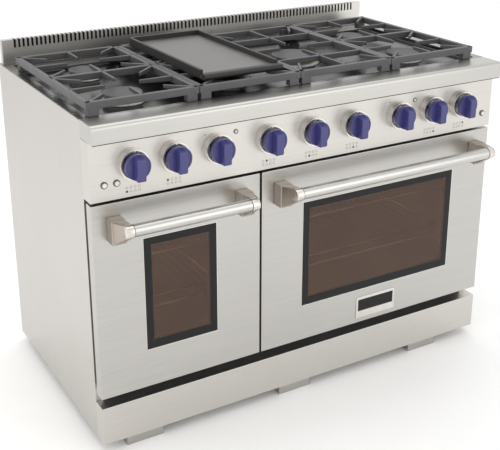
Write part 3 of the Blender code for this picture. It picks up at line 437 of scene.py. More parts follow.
# Ribbed glass with a lit bulb behind it: a warm glow.
lamp_glass, tree, shader = start_material(
    "oven_lamp_pressed_glass",
    {"Roughness": 0.2, "Emission Strength": 12.0, "Emission Color": linear("FFC890")},
)
place = add(tree, "ShaderNodeTexCoord")
ribs = add(
    tree, "ShaderNodeTexWave", {"Scale": 1 / 0.012}, {"Vector": (place, "Object")}, bands_direction="Z"
)
tone = add(tree, "ShaderNodeValToRGB", None, {"Fac": (ribs, "Fac")})
tone.color_ramp.elements[0].color = linear("E8CDA8")
tone.color_ramp.elements[1].color = linear("FFF0DA")
tree.links.new(tone.outputs["Color"], shader.inputs["Base Color"])

LAMP_RADIUS = 0.028
lens = [(0, 0), (LAMP_RADIUS, 0), (LAMP_RADIUS, 0.006), (0.022, 0.016), (0.010, 0.021), (0, 0.022)]
for side in ("left", "right"):
    dress(f"oven_liner_{side}", oven_enamel)
    low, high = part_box(f"oven_liner_{side}")
    spot = (low.x + 0.75 * (high.x - low.x), high.y - 0.0035, high.z - 0.060)
    lamp = rounded(spun(lens, spot, (0, -1, 0), 32), 0.001)
    fixed(lamp, f"oven_lamp_{side}", lamp_glass)


# The oven racks. Each is a shelf welded up from plated steel rod: a heavy rod all round, a cross rod
# just behind the front, and thin wires from front to back, browned by heat. It slides on runners.
# Nickel over steel, tinted by heat: thin warm glints.
plated_rod = patchy(
    "nickel_plated_rod", {"Metallic": 1.0}, ("B98A66", "D9B08C"), 0.03, detail=3.0, gloss=(0.18, 0.32)
)


def rod(start, end, radius, sides=12):
    """A straight round rod between two points."""
    start, end = Vector(start), Vector(end)
    length = (end - start).length
    return spun([(0, 0), (radius, 0), (radius, length), (0, length)], start, end - start, sides)


# Wire browned by heat: dull and dark, so it hardly shows behind the glass.
stained_wire = patchy(
    "steel_wire_browned_by_heat", {"Metallic": 1.0, "Roughness": 0.5}, ("6A4F3F", "80614E"), 0.02, detail=3.0
)

RUNG_PITCH = 0.022
THICK_ROD = 0.003
THIN_ROD = 0.0013
WIRE_RISE = 0.0012
CROSS_ROD_SETBACK = 0.050
for side in ("left", "right"):
    low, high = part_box(f"rack_lower_{side}")
    z = (low.z + high.z) / 2
    left, right = low.x + THICK_ROD, high.x - THICK_ROD
    front, back = low.y + THICK_ROD, high.y - THICK_ROD
    rods = [rod((left, y, z), (right, y, z), THICK_ROD) for y in (front, front + CROSS_ROD_SETBACK, back)]
    rods += [rod((x, front, z), (x, back, z), THICK_ROD) for x in (left, right)]
    shelf = joined(rods)
    smoothed()
    count = int((right - left) / RUNG_PITCH)
    pitch = (right - left) / count
    wires = [rod((left + pitch, front, z + WIRE_RISE), (left + pitch, back, z + WIRE_RISE), THIN_ROD, 8)]
    wires += [copied(wires[0], (i * pitch, 0, 0)) for i in range(1, count - 1)]
    mesh_of_wires = joined(wires)
    smoothed()
    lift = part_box(f"rack_upper_{side}")[0] - low
    for level, pieces in (
        ("upper", (copied(shelf, lift), copied(mesh_of_wires, lift))),
        ("lower", (shelf, mesh_of_wires)),
    ):
        name = f"rack_{level}_{side}"
        fixed(pieces[0], f"rod_frame_{level}_{side}", plated_rod, f"{name}_body", [name])
        fixed(pieces[1], f"rack_wires_{level}_{side}", stained_wire, f"{name}_body")


# The kick panel. One stainless channel across the whole front, folded back at its top and bottom.
# It closes the space under the ovens.
low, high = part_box("kick_panel")
hollow = block(low + Vector((SHEET, SHEET, SHEET)), high + Vector((-SHEET, SHEET, -SHEET)))
kick = rounded(cut(block(low, high), hollow), FOLD_RADIUS, angle=60)
fixed(kick, "kick_channel", steel_painted_lighter, stands_for=["kick_panel"])


# The gas manifold. A brass pipe with a brass valve behind each knob, and a run back to the inlet.
# Brass as drawn and machined: yellow, and duller in patches.
valve_brass = patchy(
    "brass_drawn_and_machined", {"Metallic": 1.0}, ("A2824A", "CBAA66"), 0.015, detail=3.0, gloss=(0.25, 0.42)
)
dress("gas_manifold", valve_brass)


# The control panel. A folded stainless tray, open behind, with a hole for each stem and each button.
# A turned and satin-ground stainless bezel is pressed on round each stem.
knob_names = [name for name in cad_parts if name.startswith("knob_")]
button_names = [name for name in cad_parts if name.startswith("button_")]
low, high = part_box("control_panel")
BEZEL_PROUD = 0.020
panel_face = low.y + BEZEL_PROUD
low.y = panel_face
hollow = block(low + Vector((SHEET, SHEET, SHEET)), high + Vector((-SHEET, SHEET, -SHEET)))
panel = cut(block(low, high), hollow)


def middle_of(node):
    low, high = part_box(node)
    return (low + high) / 2


STEM_HOLE = 0.0055
BUTTON_HOLE = 0.0064
DRILL = 0.01
holes = []
for names, radius in ((knob_names, STEM_HOLE), (button_names, BUTTON_HOLE)):
    for name in names:
        spot = middle_of(name)
        start = Vector((spot.x, panel_face - DRILL, spot.z))
        holes.append(rod(start, start + Vector((0, 2 * DRILL, 0)), radius, 24))
rounded(cut(panel, *holes), FOLD_RADIUS, angle=60)
fixed(panel, "control_tray", steel_painted_lighter, stands_for=["control_panel"])

# Turned steel, satin ground: bright, with a soft highlight.
bezel_steel = brushed_steel(
    "stainless_turned_satin", ("D4D1CC", "DEDBD7"), 0.24, (0.02, GRAIN_SPACING, 0.02)
)
BEZEL_RADIUS = 0.0377
BEZEL_BORE = 0.0304
BEZEL_LIP = 0.0025
ring = [(BEZEL_BORE, 0), (BEZEL_RADIUS, 0), (BEZEL_RADIUS, BEZEL_PROUD)]
ring += [(BEZEL_BORE + BEZEL_LIP, BEZEL_PROUD)]
ring += [(BEZEL_BORE, BEZEL_PROUD - BEZEL_LIP), (BEZEL_BORE, 0)]
# White printed ink: flat and pale.
tick_paint = patchy("printed_white_ink", {"Roughness": 0.5}, ("E9E7E3", "F6F5F2"), 0.001)
knob_spots = [middle_of(name) for name in knob_names]
first = knob_spots[0]
bezel = rounded(spun(ring, (first.x, panel_face, first.z), (0, -1, 0), 72), 0.0006)
bezels = [bezel] + [copied(bezel, spot - first) for spot in knob_spots[1:]]
for name, bezel in zip(knob_names, bezels):
    fixed(bezel, f"bezel_of_{name}", bezel_steel)


# The knobs. Each is moulded in satin blue plastic: a round skirt, and across it a thick grip whose top
# slopes down to the skirt's edge. It pushes onto its valve's stem.
# ABS from a finely textured mould: deep blue with a soft sheen.
knob_plastic = patchy(
    "moulded_abs_satin_blue",
    {"Roughness": 0.36, "Coat Weight": 0.15},
    ("37356A", "403E78"),
    0.0012,
    relief=(0.2, 0.00008),
)


def drawn(outline, start, end):
    """A side view of (y, z) corners drawn as a line, filled, and pulled out along X from start to end."""
    deselect()
    bpy.ops.mesh.primitive_plane_add(size=0.001, location=(0, 0, 0))
    piece = bpy.context.object
    bpy.ops.object.mode_set(mode="EDIT")
    bpy.ops.mesh.select_mode(type="VERT")
    bpy.ops.mesh.merge(type="CENTER")
    bpy.ops.transform.translate(value=(start, *outline[0]))
    for (y, z), (next_y, next_z) in zip(outline, outline[1:]):
        bpy.ops.mesh.extrude_vertices_move(TRANSFORM_OT_translate={"value": (0, next_y - y, next_z - z)})
    bpy.ops.mesh.select_all(action="SELECT")
    bpy.ops.mesh.edge_face_add()
    bpy.ops.mesh.extrude_region_move(TRANSFORM_OT_translate={"value": (end - start, 0, 0)})
    bpy.ops.mesh.select_all(action="SELECT")
    bpy.ops.mesh.normals_make_consistent(inside=False)
    bpy.ops.object.mode_set(mode="OBJECT")
    return piece


SKIRT_RADIUS = 0.0315
SKIRT = 0.013
STEM_LENGTH = 0.055
STEM_RADIUS = 0.004
GRIP_WIDTH = 0.021
GRIP_HEIGHT = 0.020
GRIP_END = 0.0302
GRIP_FLAT = 0.74  # how far up the grip its flat front reaches, as a share of the upper half
low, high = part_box(knob_names[0])
spot = (low + high) / 2
face = low.y + GRIP_HEIGHT
back = face + SKIRT
skirt = [(0, 0), (SKIRT_RADIUS - 0.001, 0), (SKIRT_RADIUS, SKIRT), (SKIRT_RADIUS - 0.004, SKIRT)]
skirt += [(SKIRT_RADIUS - 0.0045, SKIRT - 0.0008), (0, SKIRT - 0.0008)]
disc = spun(skirt, (spot.x, back, spot.z), (0, -1, 0), 64)
outline = [(face + 0.004, spot.z - GRIP_END), (low.y + 0.003, spot.z - GRIP_END)]
outline += [(low.y, spot.z - GRIP_END + 0.004), (low.y, spot.z + GRIP_FLAT * GRIP_END)]
outline += [(face - 0.004, spot.z + GRIP_END - 0.002), (face + 0.004, spot.z + GRIP_END - 0.002)]
grip = drawn(outline, spot.x - GRIP_WIDTH / 2, spot.x + GRIP_WIDTH / 2)
stem = rod((spot.x, back, spot.z), (spot.x, back + STEM_LENGTH, spot.z), STEM_RADIUS, 24)
use_modifier(disc, "BEVEL", width=0.0008, segments=3, limit_method="ANGLE")
use_modifier(grip, "BEVEL", width=0.0025, segments=3, limit_method="ANGLE")
knob = joined([disc, grip, stem])
smoothed()
use_modifier(knob, "WEIGHTED_NORMAL", keep_sharp=True)
knobs = [knob] + [copied(knob, spot - knob_spots[0]) for spot in knob_spots[1:]]
for name, knob in zip(knob_names, knobs):
    fixed(knob, f"moulded_{name}", knob_plastic, f"{name}_body", [name])


# The push buttons. A white cap travels 3 mm against a spring.
# Round it sits a turned collar, dark with painted shade: it stands in for the shade of the recess round the
# cap.
# White ABS from a plain mould: pale, with a small highlight.
button_plastic = patchy("moulded_abs_white", {"Roughness": 0.3}, ("DAD6D0", "E8E5E0"), 0.0015)
# Turned steel painted dark: painted shade of the recess round each cap, a dark ring with a dull gleam.
dark_collar_painted_shade = patchy(
    "steel_turned_painted_recess_shade", {"Metallic": 1.0, "Roughness": 0.4}, ("66625D", "7A756F"), 0.001
)
BUTTON_BODY = 0.006
low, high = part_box(button_names[0])
spot = (low + high) / 2
length = high.y - low.y - BUTTON_BODY
cap = [(0, -BUTTON_BODY), (0.0078, -BUTTON_BODY), (0.0078, 0), (0.0056, 0)]
cap += [(0.0056, length - 0.0006), (0.0048, length), (0, length - 0.0008)]
button = spun(cap, (spot.x, high.y - BUTTON_BODY, spot.z), (0, -1, 0), 32)
smoothed()
band = [(0.0062, 0), (0.0085, 0), (0.0085, 0.0022), (0.0078, 0.003), (0.0062, 0.003), (0.0062, 0)]
collar = rounded(spun(band, (spot.x, panel_face, spot.z), (0, -1, 0), 36), 0.0003)
pairs = [(button, collar)]
for name in button_names[1:]:
    shift = middle_of(name) - middle_of(button_names[0])
    pairs.append((copied(button, shift), copied(collar, shift)))
for name, (button, collar) in zip(button_names, pairs):
    fixed(button, f"cap_of_{name}", button_plastic, f"{name}_body", [name])
    fixed(collar, f"collar_of_{name}", dark_collar_painted_shade)


# The panel's marks. Two small indicator lamps, two index strokes and, under each burner's knob, eight
# rings that stand for the burners, with its own one filled in. No mark has any lettering.
# Dark grey ink: flat, and a little uneven.
dark_ink = patchy("printed_dark_ink", {"Roughness": 0.55}, ("3A3A3C", "4A4A4C"), 0.001)

INK = 0.00015
DOT_RADIUS = 0.0030
DOT_PITCH = Vector((0.0105, 0, 0.0095))
own_burner = {
    "knob_left_front": (0, 0),
    "knob_left_rear": (0, 1),
    "knob_griddle_rear": (1, 1),
    "knob_griddle_front": (1, 0),
    "knob_centre": (2, 0),
    "knob_right_front": (3, 0),
    "knob_right_rear": (3, 1),
}
for name, own in own_burner.items():
    spot = middle_of(name)
    dots = []
    for column in range(4):
        for row in range(2):
            x = spot.x + (column - 1.5) * DOT_PITCH.x
            z = spot.z - 0.063 + (row - 0.5) * DOT_PITCH.z
            inner = 0 if (column, row) == own else DOT_RADIUS - 0.0006
            shape = [(inner, 0), (DOT_RADIUS, 0), (DOT_RADIUS, INK), (inner, INK), (inner, 0)]
            dots.append(spun(shape, (x, panel_face, z), (0, -1, 0), 16))
    fixed(joined(dots), f"burner_plan_of_{name}", dark_ink)

LAMP_PLACES = (Vector((-0.227, 0, 0.7907)), Vector((0.328, 0, 0.7907)))
STROKE_PLACES = (Vector((-0.311, 0, 0.7955)), Vector((0.244, 0, 0.7955)))
for number, spot in enumerate(LAMP_PLACES, 1):
    shape = [(0, 0), (0.0044, 0), (0.0044, 0.0012), (0.0028, 0.0030), (0, 0.0036)]
    lens = spun(shape, (spot.x, panel_face, spot.z), (0, -1, 0), 24)
    smoothed(60)
    fixed(lens, f"indicator_lens_{number}", button_plastic)
    # Each lens sits in a collar with the same dark painted shade.
    shape = [(0.0046, 0), (0.0062, 0), (0.0062, 0.0012), (0.0046, 0.0018), (0.0046, 0)]
    collar = spun(shape, (spot.x, panel_face, spot.z), (0, -1, 0), 24)
    smoothed(40)
    fixed(collar, f"indicator_collar_{number}", dark_collar_painted_shade)
strokes = []
for spot in STROKE_PLACES:
    spot.y = panel_face
    strokes.append(block(spot - Vector((0.002, INK, 0.001)), spot + Vector((0.002, 0, 0.001))))
fixed(joined(strokes), "index_strokes", dark_ink)
ticks = []
for name in knob_names:
    spot = middle_of(name)
    z = spot.z + (BEZEL_BORE + BEZEL_RADIUS) / 2
    front = panel_face - BEZEL_PROUD
    spot = Vector((spot.x, front, z))
    ticks.append(block(spot - Vector((0.0012, INK, 0.0018)), spot + Vector((0.0012, INK, 0.0018))))
fixed(joined(ticks), "bezel_index_ticks", tick_paint)


# The front rail. A rolled stainless bullnose with welded ends, hollow and open behind.
# It covers the joint between the control panel and the cooktop.
def arc(centre, radius, start, end, steps):
    """Points along an arc in a side view, with angles in degrees from +Y towards +Z."""
    turns = [math.radians(start + (end - start) * i / steps) for i in range(steps + 1)]
    return [(centre[0] + radius * math.cos(t), centre[1] + radius * math.sin(t)) for t in turns]


RAIL_RADIUS = 0.010
SHADOW_STRIP_HEIGHT = 0.0016
low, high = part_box("front_rail")
nose = (low.y + RAIL_RADIUS, high.z - RAIL_RADIUS)
outline = [(high.y, high.z), (high.y, low.z), (low.y, low.z)] + arc(nose, RAIL_RADIUS, 180, 90, 12)
hollow = block(low + Vector((SHEET, 0.012, SHEET)), high + Vector((-SHEET, SHEET, -SHEET)))
rail = rounded(cut(drawn(outline, low.x, high.x), hollow), 0.0012, angle=40)
fixed(rail, "front_bullnose", steel_level, stands_for=["front_rail"])
# A thin black strip under the rail's lower edge: painted shadow, a dark sheet that stands in for the shadow
# gap between the rail and the panel below.
shadow_strip_low = (low.x + SHEET, low.y + 0.0006, low.z - SHADOW_STRIP_HEIGHT)
seal = rounded(block(shadow_strip_low, (high.x - SHEET, low.y + 0.024, low.z - 0.0002)), 0.0003, 1)
fixed(seal, "rail_painted_shadow_strip", frame_enamel)


# The cooktop. A stainless ledge runs all round, and burners stand in a shallow pan with rounded corners,
# pressed from steel and coated in glossy black porcelain enamel.
# Glossy enamel: black, with blurred and slightly wavy reflections.
black_enamel, tree, shader = start_material("porcelain_enamel_black_glossy", {"Specular IOR Level": 0.35})
place = add(tree, "ShaderNodeTexCoord")
peel = add(tree, "ShaderNodeTexNoise", {"Scale": 1 / 0.012, "Detail": 2.0}, {"Vector": (place, "Object")})
wipe = add(tree, "ShaderNodeTexNoise", {"Scale": 1 / 0.08, "Detail": 3.0}, {"Vector": (place, "Object")})
tone = add(tree, "ShaderNodeValToRGB", None, {"Fac": (wipe, "Fac")})
tone.color_ramp.elements[0].color = linear("151516")
tone.color_ramp.elements[1].color = linear("202022")
gloss = add(tree, "ShaderNodeMapRange", {"To Min": 0.12, "To Max": 0.26}, {"Value": (wipe, "Fac")})
relief = add(tree, "ShaderNodeBump", {"Strength": 0.2, "Distance": 0.0003}, {"Height": (peel, "Fac")})
tree.links.new(tone.outputs["Color"], shader.inputs["Base Color"])
tree.links.new(gloss.outputs["Result"], shader.inputs["Roughness"])
tree.links.new(relief.outputs["Normal"], shader.inputs["Normal"])

LEDGE_SIDE = 0.025
LEDGE_FRONT = 0.0075
LEDGE_BACK = 0.046
WELL_BACK = 0.120
PAN_CORNER = 0.018
# Smoother sheet: it mirrors the grates, and its darker tone paints their dark reflection in as well.
ledge_steel_painted_reflection = brushed_steel(
    "stainless_sheet_polished_painted_reflection", ("8E8C88", "9B9995"), 0.27, (GRAIN_LENGTH, GRAIN_SPACING, GRAIN_SPACING)
)
low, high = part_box("cooktop_tray")
back_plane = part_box("rear_panel")[1].y
pan_low = Vector((low.x + LEDGE_SIDE, low.y + LEDGE_FRONT, low.z))
pan_high = Vector((high.x - LEDGE_SIDE, back_plane - LEDGE_BACK, high.z))
thickness = 0.002
mouth = block((pan_low.x, pan_low.y, high.z - 0.01), (pan_high.x, pan_high.y, high.z + 0.01))
use_modifier(mouth, "BEVEL", width=PAN_CORNER, segments=6, limit_method="ANGLE")
ledge = rounded(cut(block((low.x, low.y, high.z - thickness), high), mouth), 0.0006, angle=60)
fixed(ledge, "cooktop_ledge", ledge_steel_painted_reflection, stands_for=["cooktop_tray"])
floor_z = low.z + thickness
edge = Vector((0.006, 0.006, 0))
pan = block(pan_low - edge, pan_high + edge - Vector((0, 0, thickness + 0.0003)))
well = block((pan_low.x, pan_low.y, floor_z), (pan_high.x, back_plane - WELL_BACK, high.z + 0.03))
use_modifier(well, "BEVEL", width=0.010, segments=5, limit_method="ANGLE")
pan = rounded(cut(pan, well), 0.0005, angle=60)
fixed(pan, "enamelled_burner_pan", black_enamel)


# The burners. A cast base stands on the pan, a ring with flame ports sits on it, and a flat enamelled cap
# covers the ring. The middle one's ring is brass. A ceramic igniter stands beside each.
# Enamelled cast iron: dark grey and slightly sandy.
burner_iron = patchy(
    "cast_iron_matt_enamel_grey",
    {"Roughness": 0.5},
    ("3B3B3C", "4E4E4F"),
    0.0015,
    detail=3.0,
    relief=(0.35, 0.0002),
)

# Die-cast aluminium: dull silver with a cloudy tone.
cast_aluminium = patchy(
    "aluminium_die_cast", {"Metallic": 1.0, "Roughness": 0.5}, ("8E8C88", "ABA9A4"), 0.003, detail=3.0
)

CERAMIC_RADIUS = 0.0032
burner_names = [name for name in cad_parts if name.startswith("burner_")]
for name in burner_names:
    low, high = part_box(name)
    spot = (low + high) / 2
    radius = (high.x - low.x) / 2
    height = high.z - low.z
    ring_radius = 0.80 * radius
    cap_radius = 0.89 * radius
    base = [(0, 0), (radius, 0), (radius, 0.002), (0.93 * radius, 0.0045), (0.86 * radius, 0.008)]
    base += [(ring_radius - 0.004, 0.008), (0, 0.008)]
    dish = spun(base, (spot.x, spot.y, low.z), (0, 0, 1), 64)
    smoothed(45)
    fixed(dish, f"base_of_{name}", cast_aluminium, stands_for=[name])
    teeth = 48 if name == "burner_centre" else 32
    tooth = ring_radius * math.tau / teeth * 0.55
    drum = ring_radius - 0.003
    crown = [spun([(0, 0), (drum, 0), (drum, 0.009), (0, 0.009)], (0, 0, 0), (0, 0, 1))]
    for i in range(teeth):
        port = block((ring_radius - 0.005, -tooth / 2, 0), (ring_radius, tooth / 2, 0.009))
        bpy.ops.transform.rotate(value=-i * math.tau / teeth, orient_axis="Z", center_override=(0, 0, 0))
        bpy.ops.object.transform_apply(location=True, rotation=True, scale=True)
        crown.append(port)
    crown = joined(crown)
    bpy.ops.transform.translate(value=(spot.x, spot.y, low.z + 0.0082))
    bpy.ops.object.transform_apply(location=True, rotation=True, scale=True)
    look = valve_brass if name == "burner_centre" else cast_aluminium
    fixed(crown, f"port_ring_of_{name}", look)
    top = height - 0.0004
    cap = [(0, 0.0172), (cap_radius - 0.002, 0.0172), (cap_radius, 0.0185), (cap_radius, top - 0.002)]
    cap += [(cap_radius - 0.002, top), (cap_radius - 0.008, top)]
    cap += [(cap_radius - 0.010, top - 0.0008), (0, top - 0.0008)]
    lid = spun(cap, (spot.x, spot.y, low.z), (0, 0, 1), 64)
    smoothed(45)
    fixed(lid, f"cap_of_{name}", burner_iron)
    post = Vector((spot.x + 0.72 * (radius + 0.008), spot.y + 0.72 * (radius + 0.008), low.z))
    ceramic = [(0, 0), (CERAMIC_RADIUS, 0), (CERAMIC_RADIUS, 0.012), (0.0018, 0.015), (0.0010, 0.015)]
    ceramic += [(0.0010, 0.018), (0, 0.018)]
    igniter = spun(ceramic, post, (0, 0, 1), 20)
    smoothed(45)
    fixed(igniter, f"igniter_of_{name}", button_plastic)


# The grates. Four heavy sections are cast in iron and coated in matt black enamel. Each is a frame of
# thick bars with thinner fingers that reach in over the burners, and it lifts off by hand.
# Matt enamel over sand-cast iron: dark grey and gritty, with a low sheen.
grate_iron, tree, shader = start_material("cast_iron_matt_enamel_black", {"Roughness": 0.46})
place = add(tree, "ShaderNodeTexCoord")
grit = add(tree, "ShaderNodeTexNoise", {"Scale": 1 / 0.0018, "Detail": 4.0}, {"Vector": (place, "Object")})
patches = add(tree, "ShaderNodeTexNoise", {"Scale": 1 / 0.05, "Detail": 2.0}, {"Vector": (place, "Object")})
tone = add(tree, "ShaderNodeValToRGB", None, {"Fac": (patches, "Fac")})
tone.color_ramp.elements[0].color = linear("48484A")
tone.color_ramp.elements[1].color = linear("5C5C5D")
gloss = add(tree, "ShaderNodeMapRange", {"To Min": 0.40, "To Max": 0.56}, {"Value": (grit, "Fac")})
relief = add(tree, "ShaderNodeBump", {"Strength": 0.5, "Distance": 0.0003}, {"Height": (grit, "Fac")})
tree.links.new(tone.outputs["Color"], shader.inputs["Base Color"])
tree.links.new(gloss.outputs["Result"], shader.inputs["Roughness"])
tree.links.new(relief.outputs["Normal"], shader.inputs["Normal"])

BAR_WIDTH = 0.013
BAR_DEPTH = 0.018
FINGER_WIDTH = 0.009
FINGER_DEPTH = 0.015
FINGER_GAP = 0.045
FINGER_TIP = 0.62
DRAFT = 0.82


def cast_bar(start, end, top, width, depth, tip=1.0):
    """A cast bar between two (x, y) points, narrower underneath for the mould and thinner at its tip."""
    deselect()
    start, end = Vector(start), Vector(end)
    middle = (start + end) / 2
    length = (end - start).length
    bpy.ops.mesh.primitive_cube_add(size=1, location=(0, 0, 0), scale=(length, width, depth))
    bpy.ops.object.transform_apply(location=True, rotation=True, scale=True)
    bar = bpy.context.object
    bpy.ops.object.mode_set(mode="EDIT")
    bpy.ops.mesh.select_mode(type="FACE")
    bpy.ops.mesh.select_all(action="DESELECT")
    bpy.ops.object.mode_set(mode="OBJECT")
    for face in bar.data.polygons:
        face.select = face.normal.z < -0.5
    bpy.ops.object.mode_set(mode="EDIT")
    bpy.ops.transform.resize(value=(1, DRAFT, 1))
    bpy.ops.mesh.select_all(action="DESELECT")
    bpy.ops.object.mode_set(mode="OBJECT")
    for face in bar.data.polygons:
        face.select = face.normal.x > 0.9
    bpy.ops.object.mode_set(mode="EDIT")
    bpy.ops.transform.resize(value=(1, tip, tip))
    bpy.ops.transform.translate(value=(0, 0, (1 - tip) * depth / 2))
    bpy.ops.object.mode_set(mode="OBJECT")
    bar.rotation_euler.z = math.atan2(end.y - start.y, end.x - start.x)
    bar.location = (middle.x, middle.y, top - depth / 2)
    bpy.ops.object.transform_apply(location=True, rotation=True, scale=True)
    return bar


def frame_bars(low, high):
    """The four bars round a section's edge, and its four feet."""
    half = BAR_WIDTH / 2
    left, right, front, back = low.x + half, high.x - half, low.y + half, high.y - half
    found = [cast_bar((x, low.y), (x, high.y), high.z, BAR_WIDTH, BAR_DEPTH) for x in (left, right)]
    found += [cast_bar((low.x, y), (high.x, y), high.z, BAR_WIDTH, BAR_DEPTH) for y in (front, back)]
    for x in (low.x + 0.018, high.x - 0.018):
        for y in (low.y + 0.0105, high.y - 0.0105):
            top = high.z - BAR_DEPTH / 2
            found.append(block((x - 0.014, y - 0.0095, low.z), (x + 0.014, y + 0.0095, top)))
    return found


def corner_fingers(low, high, reach, top):
    """A finger from each corner of a cell towards its middle."""
    middle = (low + high) / 2
    found = []
    for x in (low.x, high.x):
        for y in (low.y, high.y):
            corner = Vector((x, y))
            inward = (middle.xy - corner).normalized()
            ends = (corner + 0.008 * inward, corner + reach * inward)
            found.append(cast_bar(*ends, top, FINGER_WIDTH, FINGER_DEPTH, FINGER_TIP))
    return found


def finger(start, end, tip=FINGER_TIP):
    return cast_bar(start, end, top, FINGER_WIDTH, FINGER_DEPTH, tip)


for name in ("left", "griddle", "centre", "right"):
    low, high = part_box(f"grate_{name}")
    top = high.z
    middle = (low + high) / 2
    left, right, front, back = low.x + 0.006, high.x - 0.006, low.y + 0.006, high.y - 0.006
    quarter = (high.y - low.y) / 4
    bars = frame_bars(low, high)
    if name == "centre":
        for y in (middle.y - quarter, middle.y + quarter):
            bars.append(finger((left, y), (right, y), 1.0))
        bars += [finger((left, middle.y), (middle.x - FINGER_GAP, middle.y))]
        bars += [finger((right, middle.y), (middle.x + FINGER_GAP, middle.y))]
        bars += [finger((middle.x, front), (middle.x, middle.y - FINGER_GAP))]
        bars += [finger((middle.x, back), (middle.x, middle.y + FINGER_GAP))]
        bars += corner_fingers(low, high, 0.095, top)
    else:
        bars.append(cast_bar((left, middle.y), (right, middle.y), top, BAR_WIDTH, BAR_DEPTH))
        rows = (middle.y - quarter, middle.y + quarter)
        bars += [finger((middle.x, front), (middle.x, rows[0] - FINGER_GAP))]
        bars += [finger((middle.x, middle.y), (middle.x, rows[0] + FINGER_GAP))]
        bars += [finger((middle.x, middle.y), (middle.x, rows[1] - FINGER_GAP))]
        bars += [finger((middle.x, back), (middle.x, rows[1] + FINGER_GAP))]
        for y in rows:
            bars.append(finger((left, y), (middle.x - FINGER_GAP, y)))
            bars.append(finger((right, y), (middle.x + FINGER_GAP, y)))
            cell_low = Vector((low.x, y - quarter, low.z))
            cell_high = Vector((high.x, y + quarter, high.z))
            bars += corner_fingers(cell_low, cell_high, 0.090, top)
    section = rounded(joined(bars), 0.0014, 2)
    fixed(section, f"cast_grate_{name}", grate_iron, f"grate_{name}_body", [f"grate_{name}"])


# The griddle. A rolled steel plate lies over the second section, with a low rim welded along its sides
# and back, and a rounded bar across the front to lift it by.
# Rolled steel under oil: mid grey, with slow smears that shine more or less.
griddle_steel = patchy(
    "hot_rolled_steel_oiled", {"Metallic": 0.85}, ("6E6C6A", "858381"), 0.06, detail=4.0, gloss=(0.36, 0.52)
)

# Seasoned iron: nearly black and finely pitted.
rim_iron = patchy(
    "cast_iron_seasoned_with_oil",
    {"Roughness": 0.45, "Specular IOR Level": 0.3},
    ("232121", "363434"),
    0.002,
    detail=4.0,
    relief=(0.4, 0.0002),
)

RIM = 0.009
FRONT_BAR = 0.016
FRONT_BAR_DEPTH = 0.022
low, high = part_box("griddle_plate")
plate_top = low.z + 0.010
bar_back = low.y + FRONT_BAR_DEPTH
plate = block((low.x + 0.001, bar_back - 0.004, low.z), (high.x - 0.001, high.y - 0.001, plate_top))
plate = rounded(plate, 0.0008)
fixed(plate, "griddle_cooking_plate", griddle_steel, "griddle_body", ["griddle_plate"])
notch = 0.006
shapes = [block((low.x + notch, high.y - RIM, low.z), (high.x - notch, high.y, high.z))]
shapes.append(block((low.x, bar_back + notch, low.z), (low.x + RIM, high.y - notch, high.z)))
shapes.append(block((high.x - RIM, bar_back + notch, low.z), (high.x, high.y - notch, high.z)))
nose = (low.y + FRONT_BAR / 2, low.z + FRONT_BAR / 2)
outline = [(bar_back, low.z), (bar_back, low.z + FRONT_BAR)] + arc(nose, FRONT_BAR / 2, 90, 270, 12)
shapes.append(drawn(outline, low.x, high.x))
rims = rounded(joined(shapes), 0.0012, 2)
fixed(rims, "griddle_rims_and_bar", rim_iron, "griddle_body")


# The backguard. A hollow stainless guard across the back, with a row of pressed slots that let the ovens'
# hot air out. Behind the slots lies a folded matt black baffle: painted shade, a dark sheet that stands in
# for the darkness inside the hollow guard.
# Flat black: painted shade behind the slots.
painted_shade_black = patchy("painted_shade_matt_black", {"Roughness": 0.85}, ("0E0E0F", "171718"), 0.001)
dress("backguard", steel_painted_lighter)
low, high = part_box("backguard")
shelf = block((low.x + 0.004, low.y + 0.0028, low.z + 0.034), (high.x - 0.004, high.y - 0.003, low.z + 0.036))
rear = Vector((high.x - 0.004, high.y - 0.0028, high.z - 0.003))
upright = block((low.x + 0.004, high.y - 0.0045, low.z + 0.030), rear)
fixed(rounded(joined([shelf, upright]), 0.0004, 1), "painted_shade_baffle", painted_shade_black)


# The doors. Each is a stainless outer pan with an enamelled inner pan behind it, and a window of two
# panes between them. A woven seal goes round each oven's mouth, and the outer pane has a black border
# fired onto its front.
# Brown-tinted glass: sharp reflections over a dim, warm view of the oven.
window_glass = patchy(
    "float_glass_tinted_brown",
    {"Roughness": 0.03, "Alpha": 0.40, "IOR": 1.45},
    ("5A463B", "6A5347"),
    0.15,
    detail=1.0,
)

# Clear glass: little shows but its reflections.
clear_glass = patchy(
    "float_glass_clear_heat_resisting",
    {"Roughness": 0.03, "Alpha": 0.06, "IOR": 1.47},
    ("5E6A66", "72807B"),
    0.10,
    detail=1.0,
)

# Fired ceramic ink: smooth and black, with a weak reflection.
fired_black = patchy(
    "ceramic_ink_fired_black", {"Roughness": 0.15, "Specular IOR Level": 0.25}, ("171617", "1D1C1D"), 0.002
)

# Braided glass fibre: dark grey, with a weave that shows.
seal_cord, tree, shader = start_material("woven_glass_fibre_seal", {"Roughness": 0.85})
place = add(tree, "ShaderNodeTexCoord")
weave = add(tree, "ShaderNodeTexWave", {"Scale": 1 / 0.008, "Distortion": 1.0}, {"Vector": (place, "Object")})
tone = add(tree, "ShaderNodeValToRGB", None, {"Fac": (weave, "Fac")})
tone.color_ramp.elements[0].color = linear("2C2C2D")
tone.color_ramp.elements[1].color = linear("454546")
relief = add(tree, "ShaderNodeBump", {"Strength": 0.4, "Distance": 0.0006}, {"Height": (weave, "Fac")})
tree.links.new(tone.outputs["Color"], shader.inputs["Base Color"])
tree.links.new(relief.outputs["Normal"], shader.inputs["Normal"])

